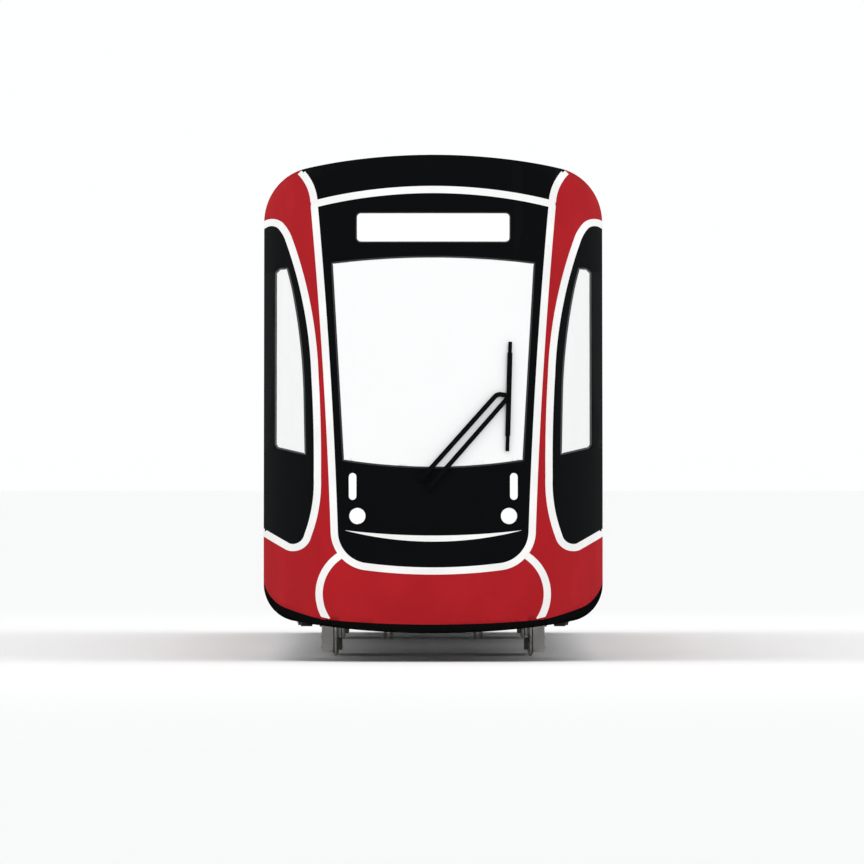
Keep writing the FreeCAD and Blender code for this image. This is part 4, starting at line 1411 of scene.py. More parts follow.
    def dropped(self, form: Form) -> Form:
        """Drops a flat form onto the nose and gives it thickness.

        Args:
            form: the form, in front of the nose.

        Returns:
            The form.
        """
        alone(form.made)
        drop = form.made.modifiers.new("drop", "SHRINKWRAP")
        drop.target = self.skin
        drop.wrap_method = "PROJECT"
        drop.use_project_y = True
        drop.use_positive_direction = True
        drop.use_negative_direction = False
        bpy.ops.object.modifier_apply(modifier=drop.name)
        mesh = form._edit("VERT")
        for corner in mesh.verts:
            corner.select_set(corner.co.y < 0.5 - self.launch)
        bmesh.update_edit_mesh(form.made.data)
        bpy.ops.mesh.delete(type="VERT")
        form._leave()
        return form.thickened(self.line_proud, FRONTWARDS)

    def smile(self, finish: Material) -> None:
        """Lays the white crescent below the lamps.

        Args:
            finish: its material.
        """
        steps, rows = 64, 3
        bpy.ops.object.select_all(action="DESELECT")
        bpy.ops.mesh.primitive_grid_add(x_subdivisions=steps, y_subdivisions=rows, size=1)
        form = Form._begun("front_crescent")
        corners = form.columns()
        reach = self.smile_reach
        for index in range(steps + 1):
            across = reach * 0.995 * (2 * index / steps - 1)
            low, high = (
                self.smile_high + math.sqrt(r**2 - reach**2) - math.sqrt(r**2 - across**2)
                for r in self.smile_radii
            )
            for place in range(rows + 1):
                spot = (across, -self.launch, low + (high - low) * place / rows)
                corners[index * (rows + 1) + place].co = spot
        self.dropped(form).pair("front_car", finish)

    def lamp_rims(self) -> None:
        """Rims the lamps with dark bezels."""
        black = self.shop["wiper_black"]
        self.line("pill_rim", oblong(*self.pill_place, 0.006), self.rim_wide, black, True)
        across, up, radius = self.lamp_place
        turn = around((across, 0, up), radius, 48, Axis.ALONG)
        self.line("lamp_rim", turn + turn[:1], self.rim_wide, black, True)

    def wiper(self) -> None:
        """Builds two parallel arms on their spindles, and an upright blade with its lip."""
        parts = []
        for path, wide in zip(self.wiper_arms, self.arm_widths):
            corners = [Vector((x, 0, z)) for x, z in path]
            points = []
            for near, far in zip(corners, corners[1:]):
                points += [near.lerp(far, share) for share in (0.0, 0.33, 0.66)]
            points.append(corners[-1])
            for point in points:
                point.y = self.touch(point.x, point.z) - self.arm_lift
            arm = Form.ribbon("arm", points, wide, FRONTWARDS, False)
            parts.append(arm.thickened(self.arm_thick, FRONTWARDS).bevel(0.0025))
        for across, up in self.wiper_bosses:
            front = self.touch(across, up) - self.arm_lift
            for name, back, radius, length, sides, width, rounds in self.SPINDLE:
                place = (across, front + back, up)
                part = Form.drum(name, place, radius, length, Axis.ALONG, sides)
                parts.append(part.bevel(width, rounds))
        rows = 12
        foot, head = (Vector((x, 0, z)) for x, z in self.blade_ends)
        for first, last, lift, wide, thick in self.BLADE:
            points = [
                foot.lerp(head, first + (last - first) * index / rows) for index in range(rows + 1)
            ]
            for point in points:
                point.y = self.touch(point.x, point.z) - lift
            strip = Form.ribbon("blade", points, wide, FRONTWARDS, False)
            parts.append(strip.thickened(thick, FRONTWARDS).bevel(0.002))
        whole = joined("front_wiper_set", parts)
        whole.pair("front_car", self.shop["wiper_black"], replaces="front_wiper")


# Side walls, doors and windows


@dataclass
class CarSection:
    """What one car carries. The front car's pieces are copied, turned half round, to the rear."""

    shop: Paintshop
    car: str

    def placed(self, name: str, parts: list[Form], finish: str, twin: bool = True) -> None:
        """Joins parts, mirrors them where the left side has them too, and finishes them."""
        form = joined(f"{self.car}_{name}", parts)
        (form.both_sides() if twin else form).pair(f"{self.car}_car", self.shop[finish])


@dataclass
class SideWall(CarSection):
    """One car's sides: white lines, gaskets and door fittings, each by its ends along Y."""

    windows: tuple[Span, ...]
    hoppers: int
    leaves: tuple[Span, ...]
    upper_line: tuple[Span, ...]
    lower_line: tuple[Span, ...]
    wall: float = 1.2
    leaf: float = 1.197
    line_heights: Span = (3.08, 0.9)
    line_wide: float = 0.05
    proud: float = 0.0008
    window_heights: Span = (1.15, 2.56)
    hopper_foot: float = 2.17
    seal_heights: Span = (0.535, 2.49)
    pane_heights: Span = (0.7, 2.36)
    stile: float = 0.085
    button_high: float = 1.12
    rail_deep: float = 0.075

    def build(self) -> None:
        """Dresses both sides of the car, and of the rear one where it is the front one."""
        self.lines()
        self.gaskets()
        self.hopper_bars()
        self.door_trims()

    def lines(self) -> None:
        """Lays the white lines along the window band, broken at the doors."""
        strips = []
        for height, ends in zip(self.line_heights, (self.upper_line, self.lower_line)):
            for near, far in ends:
                low = (self.wall - 0.002, near, height - self.line_wide / 2)
                high = (self.wall + self.proud, far, height + self.line_wide / 2)
                strips.append(Form.block("strip", low, high).bevel(0.0004, rounds=1))
        self.placed("side_lines", strips, "gloss_white")

    def ring(self, along: Span, up: Span, corner: float, wide: float, at: float) -> Form:
        """A closed gasket round an opening in the side.

        Args:
            along: the opening's ends along Y.
            up: its foot and head.
            corner: its corner radius.
            wide: the gasket's width.
            at: the wall's place across.

        Returns:
            The form.
        """
        (near, far), (low, high) = along, up
        path = oblong((near + far) / 2, (low + high) / 2, far - near, high - low, corner, 0.25)
        ring = Form.ribbon("gasket", sideways(path, at), wide, (1, 0, 0), True)
        return ring.thickened(self.proud, (1, 0, 0))

    def gaskets(self) -> None:
        """Rings the side windows with rubber."""
        high = self.window_heights
        rings = [self.ring(along, high, 0.09, 0.022, self.wall) for along in self.windows]
        self.placed("window_gaskets", rings, "rubber")

    def hopper_bars(self) -> None:
        """Sets a tilting top light in the windows: its frame, its bar and a small catch."""
        bars = []
        top, foot = self.window_heights[1], self.hopper_foot
        outer, inner, deep = self.wall - 0.02, self.wall - 0.045, self.wall - 0.075
        for near, far in self.windows[: self.hoppers]:
            along, up = (near + 0.09, far - 0.09), (foot, top - 0.06)
            bars.append(self.ring(along, up, 0.03, 0.03, self.wall))
            low, high = (inner, near + 0.08, foot - 0.02), (outer, far - 0.08, foot + 0.02)
            bars.append(Form.block("bar", low, high).bevel(0.004))
            middle = (near + far) / 2
            low, high = (deep, middle - 0.05, foot + 0.02), (inner, middle + 0.05, foot + 0.045)
            bars.append(Form.block("catch", low, high).bevel(0.006))
        self.placed("hopper_bars", bars, "rubber")

    def door_trims(self) -> None:
        """Gives each door leaf its glass gasket, edge seals, opening button and inside rail."""
        seals, buttons, glows, rails = [], [], [], []
        leaf, (low, high) = self.leaf, self.seal_heights
        inside = leaf - self.rail_deep
        for index, (near, far) in enumerate(self.leaves):
            pane = (near + self.stile, far - self.stile)
            seals.append(self.ring(pane, self.pane_heights, 0.06, 0.016, leaf))
            for edge in (near + 0.007, far - 0.007):
                corners = (leaf - 0.004, edge - 0.006, low), (leaf + 0.0022, edge + 0.006, high)
                seals.append(Form.block("seal", *corners).bevel(0.002))
            y = near + self.stile / 2 if index % 2 else far - self.stile / 2
            place = (leaf, y, self.button_high)
            buttons.append(Form.drum("button", place, 0.031, 0.004, Axis.ACROSS, 40).bevel(0.001))
            place = (leaf + 0.0008, y, self.button_high)
            glows.append(Form.hoop("ring", place, 0.022, 0.0016, Axis.ACROSS))
            bends = ((0.04, 0.95), (0.0, 0.96), (0.0, 1.2), (0.0, 1.44), (0.04, 1.45))
            rails.append(Form.pipe("rail", [(inside + out, y, z) for out, z in bends], 0.012))
        self.placed("door_seals", seals, "rubber")
        self.placed("door_buttons", buttons, "bright_steel")
        self.placed("door_button_lights", glows, "button_green")
        self.placed("door_rails", rails, "grab_yellow")


# Seats


@dataclass
class Pad:
    """One stuffed pad: a slightly smaller block, blown up as cloth and held in its tray."""

    name: str
    wide: float
    long: float
    thick: float
    swell: float = 0.014
    voxel: float = 0.0075
    gap: float = 0.006
    pressure: float = 4.0
    frames: int = 20

    def build(self) -> Form:
        """Makes the pad, lying flat on the origin.

        Returns:
            The pad, ready to be turned and placed.
        """
        half, reach = self.wide / 2 - self.gap, self.long / 2 - self.gap
        form = Form.block(self.name, (-half, -reach, 0.0), (half, reach, self.thick * 0.8))
        form.bevel(self.thick * 0.3, rounds=3)
        alone(form.made)
        form.made.data.remesh_voxel_size = self.voxel
        bpy.ops.object.voxel_remesh()
        before = [corner.co.copy() for corner in form.made.data.vertices]
        cloth = form.made.modifiers.new("stuffing", "CLOTH")
        cloth.settings.use_pressure = True
        cloth.settings.uniform_pressure_force = self.pressure
        cloth.settings.effector_weights.gravity = 0.0
        cloth.point_cache.frame_start, cloth.point_cache.frame_end = 1, self.frames
        for frame in range(1, self.frames + 1):
            bpy.context.scene.frame_set(frame)
        bpy.ops.object.modifier_apply(modifier=cloth.name)
        bpy.context.scene.frame_set(1)
        for corner, first in zip(form.made.data.vertices, before):
            move = corner.co - first
            held = self.swell * min(1.0, max(0.0, first.z / (self.thick * 0.35)))
            if move.length > held:
                corner.co = first + move * (held / move.length)
        return form._whole("VERT", bpy.ops.mesh.vertices_smooth, factor=0.5, repeat=4)


@dataclass
class Seats:
    """The saloon's double seats: one seat is built and copied to every place, with its pads."""

    shop: Paintshop
    half: float = 0.28
    foot_half: float = 0.2
    middle: float = 0.76
    floor_high: float = 0.44
    box_high: float = 0.14
    floor_top: float = 0.375
    box_top: float = 0.74
    cab_places: tuple[tuple[float, bool, bool], ...] = (
        (-7.48, False, True), (-6.16, True, True), (-5.90, False, True),
        (-4.08, True, False),
    )
    centre_places: tuple[tuple[float, bool, bool], ...] = (
        (-0.64, False, False),
        (0.64, True, False),
    )
    bucket: tuple[Span, ...] = (
        (0.060, -0.130), (0.350, -0.120), (0.440, -0.062), (0.440, -0.044), (0.425, -0.048),
        (0.085, -0.084), (0.048, -0.070), (0.028, -0.030), (-0.094, 0.586), (-0.118, 0.580),
        (-0.030, -0.060),
    )
    handle: tuple[Spot, ...] = (
        (-0.032, -0.105, 0.52), (-0.032, -0.108, 0.58), (-0.02, -0.112, 0.625),
        (0.02, -0.112, 0.625), (0.032, -0.108, 0.58), (0.032, -0.105, 0.52),
    )
    cushion: Pad = field(default_factory=lambda: Pad("cushion", 0.262, 0.35, 0.045))
    back: Pad = field(default_factory=lambda: Pad("back_pad", 0.262, 0.585, 0.04))

    def build(self) -> None:
        """Builds the seats of all three cars."""
        pads = (self.cushion.build(), self.back.build())
        self.fill("front", self.cab_places, pads)
        self.fill("rear", self.cab_places, pads)
        self.fill("centre", self.centre_places, pads)
        for form in pads:
            bpy.data.objects.remove(form.made)

    def shell(self, high: float) -> Form:
        """The moulded shell and foot of one seat that looks along +Y, centred across.

        Args:
            high: the height of its cushion over its foot.

        Returns:
            The form.
        """
        outline = [(y, high + z) for y, z in self.bucket]
        bucket = Form.plate("shell", outline, -self.half, self.half, Axis.ACROSS).bevel(0.006)
        rib = Form.block("rib", (-0.006, 0.075, high - 0.075), (0.006, 0.42, high - 0.042))
        outline = [(0.09, 0.0), (0.31, 0.0), (0.345, high - 0.118), (0.065, high - 0.128)]
        foot = Form.plate("foot", outline, -self.foot_half, self.foot_half, Axis.ACROSS)
        return joined("shell", [bucket, foot.bevel(0.008), rib.bevel(0.003)])

    def handles(self, high: float) -> Form:
        """The grab handles on the top corners of one seat's back.

        Args:
            high: the height of its cushion over its foot.

        Returns:
            The form.
        """
        hoops = []
        for side in (-0.235, 0.235):
            bends = [(side + x, y, high + z) for x, y, z in self.handle]
            hoops.append(Form.pipe("handle", bends, 0.0095))
        return joined("handles", hoops)

    def fill(
        self, car: str, places: Sequence[tuple[float, bool, bool]], pads: tuple[Form, Form]
    ) -> None:
        """Fills one car with seats.

        Args:
            car: front, centre or rear, which is the front one turned half round.
            places: each seat's foot along Y, and whether it looks forward and is on a wheel box.
            pads: the stuffed cushion and back to copy.
        """
        body, node = f"{car}_car", f"{car}_seats"
        half_turn = Matrix.Rotation(math.pi, 4, "Z")
        shells, handles, count = [], [], 0
        for y, forward, boxed in places:
            high = self.box_high if boxed else self.floor_high
            base = self.box_top if boxed else self.floor_top
            shell, handle = self.shell(high), self.handles(high)
            for side in (-1, 1):
                place = Matrix.Translation((side * self.middle, y, base))
                place = place @ half_turn if forward else place
                place = half_turn @ place if car == "rear" else place
                for model, kept in ((shell, shells), (handle, handles)):
                    copy = model.copy("copy")
                    copy.made.data.transform(place)
                    kept.append(copy)
                for across in (-0.1345, 0.1345):
                    count += 1
                    cushion = pads[0].copy(f"{node}_cushion_{count}")
                    self.pad(cushion, place, (across, 0.258, high - 0.061), SEAT_LEAN, body)
                    back = pads[1].copy(f"{node}_back_{count}")
                    self.pad(back, place, (across, -0.016, high + 0.27), BACK_LEAN, body)
            for model in (shell, handle):
                bpy.data.objects.remove(model.made)
        whole = joined(f"{node}_shells", shells).finish(body, self.shop["seat_shell"])
        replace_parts(whole, node)
        joined(f"{node}_handles", handles).finish(body, self.shop["grab_yellow"])

    def pad(self, pad: Form, place: Matrix, at: Point, lean: float, body: str) -> None:
        """Sets a pad on its seat.

        Args:
            pad: the pad.
            place: the seat's own place.
            at: the middle of the pad's foot in the seat.
            lean: how far the pad is tipped about X, in degrees.
            body: the body that it rides on.
        """
        tip = Matrix.Rotation(math.radians(lean), 4, "X")
        pad.made.data.transform(place @ Matrix.Translation(at) @ tip)
        pad.finish(body, self.shop["seat_moquette"], "seat_fabric")


# The cab and the saloon


@dataclass
class Cab:
    """The driver's place: seat, desk fittings and ceiling lamp, at both ends."""

    shop: Paintshop
    seat_y: float = -9.56
    floor_top: float = 0.375
    cushion_high: float = 0.5
    seat_half: float = 0.24
    bucket: tuple[Span, ...] = (
        (0.060, -0.130), (0.350, -0.120), (0.440, -0.062), (0.440, -0.050), (0.085, -0.086),
        (0.028, -0.030), (-0.094, 0.580), (-0.118, 0.575), (-0.030, -0.060),
    )
    screens: tuple[Span, ...] = ((-0.29, 0.24), (0.0, 0.3), (0.29, 0.24))
    screen_lean: float = -14.0
    screen_foot: Spot = (0.0, -10.6, 1.13)
    first_button: Spot = (0.1, -10.43, 1.104)
    cushion: Pad = field(
        default_factory=lambda: Pad("driver_cushion", 0.45, 0.36, 0.05, 0.02, 0.009)
    )
    back: Pad = field(default_factory=lambda: Pad("driver_back", 0.44, 0.56, 0.045, 0.018, 0.009))
    rest: Pad = field(default_factory=lambda: Pad("head_rest", 0.25, 0.15, 0.04, 0.012, 0.006))

    def build(self) -> None:
        """Builds the driver's place and copies it to the rear cab."""
        self.seat()
        self.desk()
        self.ceiling()

    def seat(self) -> None:
        """Builds the seat with its pads, facing the windscreen."""
        high, half = self.cushion_high, self.seat_half
        outline = [(y, high + z) for y, z in self.bucket]
        shell = Form.plate("front_driver_shell", outline, -half, half, Axis.ACROSS)
        parts = [
            shell.bevel(0.012, rounds=3),
            Form.drum("column", (0, 0.2, 0.2), 0.06, 0.39, Axis.UP, 40).bevel(0.004),
            Form.drum("base", (0, 0.2, 0.0125), 0.19, 0.025, Axis.UP, 56).bevel(0.006),
            Form.drum("bellows", (0, 0.2, 0.3), 0.085, 0.1, Axis.UP, 40).bevel(0.02),
            Form.block("rest_back", (-0.13, -0.118, 1.1), (0.13, -0.098, 1.262)).bevel(0.008),
        ]
        for x in (-0.04, 0.04):
            low, top = (x - 0.01, -0.1, high + 0.52), (x + 0.01, -0.085, high + 0.66)
            parts.append(Form.block("stem", low, top).bevel(0.004))
        for x in (-0.27, 0.27):
            low, top = (x - 0.024, -0.035, 0.69), (x + 0.024, 0.185, 0.726)
            parts.append(Form.block("arm", low, top).bevel(0.011, rounds=3))
            hinge = Form.drum("hinge", (x * 0.93, 0.0, 0.707), 0.02, 0.05, Axis.ACROSS, 24)
            parts.append(hinge.bevel(0.003))
        whole = joined("front_driver_seat_frame", parts)
        place = Matrix.Translation((0, self.seat_y, self.floor_top))
        place = place @ Matrix.Rotation(math.pi, 4, "Z")
        whole.made.data.transform(place)
        whole.pair("front_car", self.shop["console_grey"], replaces="front_driver_seat")
        for pad, at, lean in (
            (self.cushion, (0, 0.26, high - 0.063), SEAT_LEAN),
            (self.back, (0, -0.016, high + 0.265), BACK_LEAN),
            (self.rest, (0, -0.09, 1.181), 96.0),
        ):
            form = pad.build()
            tip = Matrix.Rotation(math.radians(lean), 4, "X")
            form.made.data.transform(place @ Matrix.Translation(at) @ tip)
            form.made.name = f"front_{pad.name}"
            rear = form.copy(f"rear_{pad.name}", half_turn=True)
            for end, each in ((End.FRONT, form), (End.REAR, rear)):
                made = each.finish(end.car, self.shop["seat_moquette"], "seat_fabric")

    def desk(self) -> None:
        """Fits the desk with screens, a master controller, buttons and a handset."""
        black, screens, buttons, steel = [], [], [], []
        for x, wide in self.screens:
            low, high = (x - wide / 2, -10.62, 1.13), (x + wide / 2, -10.585, 1.3)
            black.append(Form.block("screen_case", low, high).bevel(0.008, rounds=3))
            low, high = (low[0] + 0.014, -10.586, 1.144), (high[0] - 0.014, -10.583, 1.286)
            screens.append(Form.block("screen", low, high))
            for part in (black[-1], screens[-1]):
                part.turned(self.screen_lean, "X", self.screen_foot)
        grip = Form.drum("grip", (-0.42, -10.46, 1.2), 0.02, 0.1, Axis.ACROSS, 24)
        gate = Form.block("gate", (-0.47, -10.52, 1.075), (-0.37, -10.4, 1.108))
        handset = Form.block("handset", (0.5, -10.5, 1.09), (0.55, -10.32, 1.125))
        black += [grip.bevel(0.008, rounds=3), gate.bevel(0.006), handset.bevel(0.012, rounds=3)]
        stem = Form.block("stem", (-0.43, -10.47, 1.09), (-0.41, -10.45, 1.2))
        steel.append(stem.bevel(0.004))
        x, y, z = self.first_button
        for row in range(2):
            for index in range(7):
                place = (x + 0.042 * index, y - 0.045 * row, z + 0.014 * row)
                buttons.append(Form.drum("button", place, 0.012, 0.02, Axis.UP, 20).bevel(0.003))
                collar = (place[0], place[1], place[2] - 0.003)
                steel.append(Form.hoop("collar", collar, 0.0145, 0.0025, sides=20))
        for name, parts, finish in (
            ("fittings", black, "wiper_black"),
            ("screens", screens, "desk_screen"),
            ("buttons", buttons, "tail_red"),
            ("steel", steel, "bright_steel"),
        ):
            joined(f"front_desk_{name}", parts).pair("front_car", self.shop[finish])

    def ceiling(self) -> None:
        """Hangs a lamp under the cab's ceiling and a rolled blind above the windscreen."""
        lamp = Form.block("front_cab_lamp", (-0.3, -9.9, 2.855), (0.3, -9.7, 2.878)).bevel(0.01)
        lamp.pair("front_car", self.shop["ceiling_light"])
        blind = Form.drum("front_cab_blind", (0, -10.62, 2.84), 0.026, 1.1, Axis.ACROSS, 28)
        blind.bevel(0.006).pair("front_car", self.shop["console_grey"])


@dataclass
class Saloon(CarSection):
    """What passengers find in one car: ceiling lights, air slots, hand loops and step edges."""

    lining: Span
    rails: Span
    thresholds: tuple[Span, ...]
    ceiling: float = 2.62
    rail_reach: float = 0.465
    rail_high: float = 1.99
    loop_space: float = 0.62
    loop_drop: float = 0.215
    floor_top: float = 0.375
    edge_reach: float = 1.078

    def build(self) -> None:
        """Fits out the car, each piece between its two ends along Y."""
        self.overhead()
        self.loops()
        self.step_edges()

    def overhead(self) -> None:
        """Lines the ceiling with lights and slotted panels."""
        (near, far), top = self.lining, self.ceiling
        lights, panels = [], []
        length = (far - near) / 4
        for index in range(4):
            start = near + index * length + 0.03
            stop = start + length - 0.06
            light = Form.block("light", (0.3, start, top - 0.026), (0.4, stop, top - 0.004))
            lights.append(light.bevel(0.008, rounds=3))
            panel = Form.block("panel", (-0.24, start, top - 0.016), (0.24, stop, top - 0.003))
            panels.append(panel.bevel(0.004))
            for slot in range(6):
                y = start + 0.12 + slot * (length - 0.3) / 5
                low, high = (-0.1, y, top - 0.021), (0.1, y + 0.018, top - 0.012)
                panels.append(Form.block("slot", low, high).bevel(0.002))
        self.placed("ceiling_lights", lights, "ceiling_light")
        self.placed("ceiling_panels", panels, "cab_lining", twin=False)

    def loops(self) -> None:
        """Hangs the hand loops on their straps."""
        straps, grips = [], []
        (near, far), x, z = self.rails, self.rail_reach, self.rail_high
        count = round((far - near) / self.loop_space)
        for index in range(count):
            y = near + (index + 0.5) * (far - near) / count
            low, high = (x - 0.003, y - 0.014, z - 0.16), (x + 0.003, y + 0.014, z - 0.012)
            straps.append(Form.block("strap", low, high).bevel(0.001))
            straps.append(Form.hoop("sleeve", (x, y, z), 0.018, 0.0045, Axis.ALONG, 20))
            place = (x, y, z - self.loop_drop)
            grips.append(Form.hoop("loop", place, 0.055, 0.009, Axis.ACROSS, 28))
        self.placed("straps", straps, "rubber")
        self.placed("loops", grips, "grab_yellow")

    def step_edges(self) -> None:
        """Lays ribbed edges along the thresholds."""
        strips = []
        for near, far in self.thresholds:
            for row in range(3):
                x = self.edge_reach + 0.022 * row
                low = (x, near, self.floor_top - 0.001)
                high = (x + 0.016, far, self.floor_top + 0.003)
                strips.append(Form.block("edge", low, high).bevel(0.001))
        self.placed("step_edges", strips, "grab_yellow")


# Between the cars and on the roof


@dataclass
class Gangway:
    """The pleated bellows, which bend between two cars."""

    shop: Paintshop
    nodes: Nodes
    near: float = 3.05
    far: float = 3.55
    high: float = 1.5

    def build(self) -> None:
        """Copies both bellows and lets them bend."""
        for end in End:
            name = end.node("bellows")
            made = copied(f"{name}_cloth", self.nodes[name]).merged().made
            alone(made)
            bpy.ops.object.shade_smooth_by_angle(angle=SHADE_ANGLE)
            made.data.materials.clear()
            made.data.materials.append(self.shop["bellows_cloth"])
            start = (0, end.value * self.near, self.high)
            stop = (0, end.value * self.far, self.high)
            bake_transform(made, "centre_car", end.car, start=start, end=stop)
            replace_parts(made, name)


@dataclass
class Roof(CarSection):
    """Fan wheels, bolts, lifting eyes, conduits and joint covers on one car's roof units."""

    units: tuple[Span, ...]
    fans: tuple[float, ...]
    pipes: Span
    deck: float = 2.8
    unit_high: float = 0.44
    fan_radius: float = 0.25
    fan_deep: float = 0.11
    fan_blades: int = 9
    blade_turn: float = 28.0
    pipe_reaches: tuple[float, ...] = (0.79, 0.825, 0.86)
    pipe_radius: float = 0.013
    branch: tuple[Spot, ...] = (
        (0.7, 0.0, 0.15), (0.745, 0.0, 0.15), (0.79, 0.02, 0.13), (0.79, 0.06, 0.03),
    )

    def build(self) -> None:
        """Dresses the units on the roof, each by its two ends along Y."""
        self.fan_wheels()
        self.bolts()
        self.eyes()
        self.conduits()
        self.covers()

    @property
    def top(self) -> float:
        """The height of the units' tops."""
        return self.deck + self.unit_high

    def fan_wheels(self) -> None:
        """Sets blades and a nose in each air opening."""
        low = self.top - self.fan_deep
        blade = Form.block("blade", (0.06, -0.055, -0.002), (self.fan_radius - 0.012, 0.055, 0.002))
        blade.resize(lambda middle, normal: normal.x < -0.5, (1, 0.55, 1)).bevel(0.0012, rounds=1)
        blade.turned(self.blade_turn, "X", (0, 0, 0))
        blades = []
        for y in self.fans:
            for index in range(self.fan_blades):
                turn = 360 * index / self.fan_blades
                copy = blade.copy("blade").turned(turn, "Z", (0, 0, 0))
                copy.made.data.transform(Matrix.Translation((0, y, low + 0.035)))
                blades.append(copy)
            nose = Form.drum("nose", (0, y, low + 0.1), 0.06, 0.02, Axis.UP, 40)
            blades.append(nose.bevel(0.012, rounds=3))
        bpy.data.objects.remove(blade.made)
        self.placed("fan_wheels", blades, "console_grey", twin=False)

    def bolts(self) -> None:
        """Sets bolts round the fans and along the units' tops."""
        places: list[Vector] = []
        for y in self.fans:
            places += around((0, y, self.top), self.fan_radius + 0.03, 12, Axis.UP)
        for near, far in self.units:
            rows = max(3, round((far - near) / 0.3))
            for index in range(rows + 1):
                y = near + 0.03 + (far - near - 0.06) * index / rows
                places += [Vector((x, y, self.top)) for x in (-0.53, 0.53)]
        bolts = spread("bolts", bolt_head(0.011, 0.009, Axis.UP), places)
        self.placed("roof_bolts", [bolts], "bright_steel", twin=False)

    def eyes(self) -> None:
        """Sets lifting eyes at the units' corners."""
        eye = Form.hoop("eye", (0, 0, 0.028), 0.024, 0.007, Axis.ALONG, 24)
        foot = Form.drum("foot", (0, 0, 0.003), 0.022, 0.008, Axis.UP, 24).bevel(0.002)
        places = [
            (x, y, self.top)
            for near, far in self.units
            for x in (-0.47, 0.47)
            for y in (near + 0.09, far - 0.09)
        ]
        eyes = spread("eyes", joined("eye", [eye, foot]), places)
        self.placed("lifting_eyes", [eyes], "grab_yellow", twin=False)

    def conduits(self) -> None:
        """Lays conduits beside the units, with their clamps and branches."""
        near, far = self.pipes
        deck, pieces = self.deck, []
        for index, reach in enumerate(self.pipe_reaches):
            radius = self.pipe_radius - 0.002 * index
            middle = (reach, (near + far) / 2, deck + 0.03)
            pieces.append(Form.drum("pipe", middle, radius, far - near, Axis.ALONG, 20))
        clamps = round((far - near) / 0.45)
        for index in range(clamps):
            y = near + 0.15 + (far - near - 0.3) * index / (clamps - 1)
            clamp = Form.block("clamp", (0.765, y, deck), (0.882, y + 0.03, deck + 0.046))
            pieces.append(clamp.bevel(0.004))
        for start, stop in self.units:
            for y in (start + 0.4, stop - 0.4):
                bends = [(x, y + along, deck + z) for x, along, z in self.branch]
                pieces.append(Form.pipe("branch", bends, 0.011))
        self.placed("conduits", pieces, "bright_steel")

    def covers(self) -> None:
        """Lays joint covers across the units' ends."""
        foot, top = self.deck + 0.045, self.top
        half = [(0.571, top + 0.002), (0.722, top - 0.152), (0.722, foot)]
        half += [(0.708, foot), (0.708, top - 0.15), (0.565, top - 0.006)]
        line = half + [(-x, z) for x, z in reversed(half)]
        pieces = []
        for near, far in self.units:
            for y in (near + 0.006, far - 0.046):
                cover = Form.plate("cover", line, y, y + 0.04, Axis.ALONG)
                pieces.append(cover.bevel(0.001, rounds=1))
        self.placed("unit_covers", pieces, "equipment_grey", twin=False)


@dataclass
class Pantograph:
    """The small parts of the current collector: carbons, studs, coils, bolts and nuts."""

    shop: Paintshop
    hinge: Span = (0.6, 3.03)
    arm: float = 1.2
    tilt: float = 5.0
    strips: Span = (-0.19, 0.14)
    stud_places: tuple[float, ...] = (-0.4, -0.2, 0.0, 0.2, 0.4)
    coils: int = 23
    coil_start: Span = (0.09, 2.975)
    coil_pitch: float = 0.021
    foot_place: Spot = (0.4, 0.65, 2.97)

    def build(self) -> None:
        """Fits the small parts on the collector head, the upper arm and the car's roof."""
        steel = self.shop["bright_steel"]
        rise = self.arm * math.sin(math.radians(self.tilt))
        head = self.hinge[1] + 2 * rise
        carbons, studs = [], []
        for along in self.strips:
            y = self.hinge[0] + along
            low, high = (-0.525, y + 0.004, head + 0.07), (0.525, y + 0.046, head + 0.09)
            carbons.append(Form.block("carbon", low, high).bevel(0.004))
            studs += [Vector((x, y + 0.053, head + 0.06)) for x in self.stud_places]
        joined("collector_carbons", carbons).finish("pantograph_collector", self.shop["carbon"])
        stud = bolt_head(0.008, 0.008, Axis.ALONG)
        spread("collector_studs", stud, studs).finish("pantograph_collector", steel)
        coils = []
        start, high = self.coil_start
        for x in (-0.1, 0.1):
            for index in range(self.coils):
                place = (x, start + self.coil_pitch * index, high)
                coils.append(Form.hoop("coil", place, 0.03, 0.006, Axis.ALONG, 24))
        joined("pantograph_coils", coils).finish("centre_car", steel)
        feet: list[Vector] = []
        x, y, z = self.foot_place
        for across in (-x, x):
            for along in (-y, y):
                feet += around((across, along, z), 0.018, 2, Axis.UP)
        bolts = spread("pantograph_feet_bolts", bolt_head(0.01, 0.01, Axis.UP), feet)
        bolts.finish("centre_car", steel)
        knee = (self.hinge[0] - self.arm * math.cos(math.radians(self.tilt)), self.hinge[1] + rise)
        nuts = [
            Form.drum("nut", (x, *knee), 0.026, 0.012, Axis.ACROSS, 6).bevel(0.002)
            for x in (-0.131, 0.131)
        ]
        joined("pantograph_knee_nuts", nuts).finish("pantograph_upper", steel)


# Running gear and coachwork


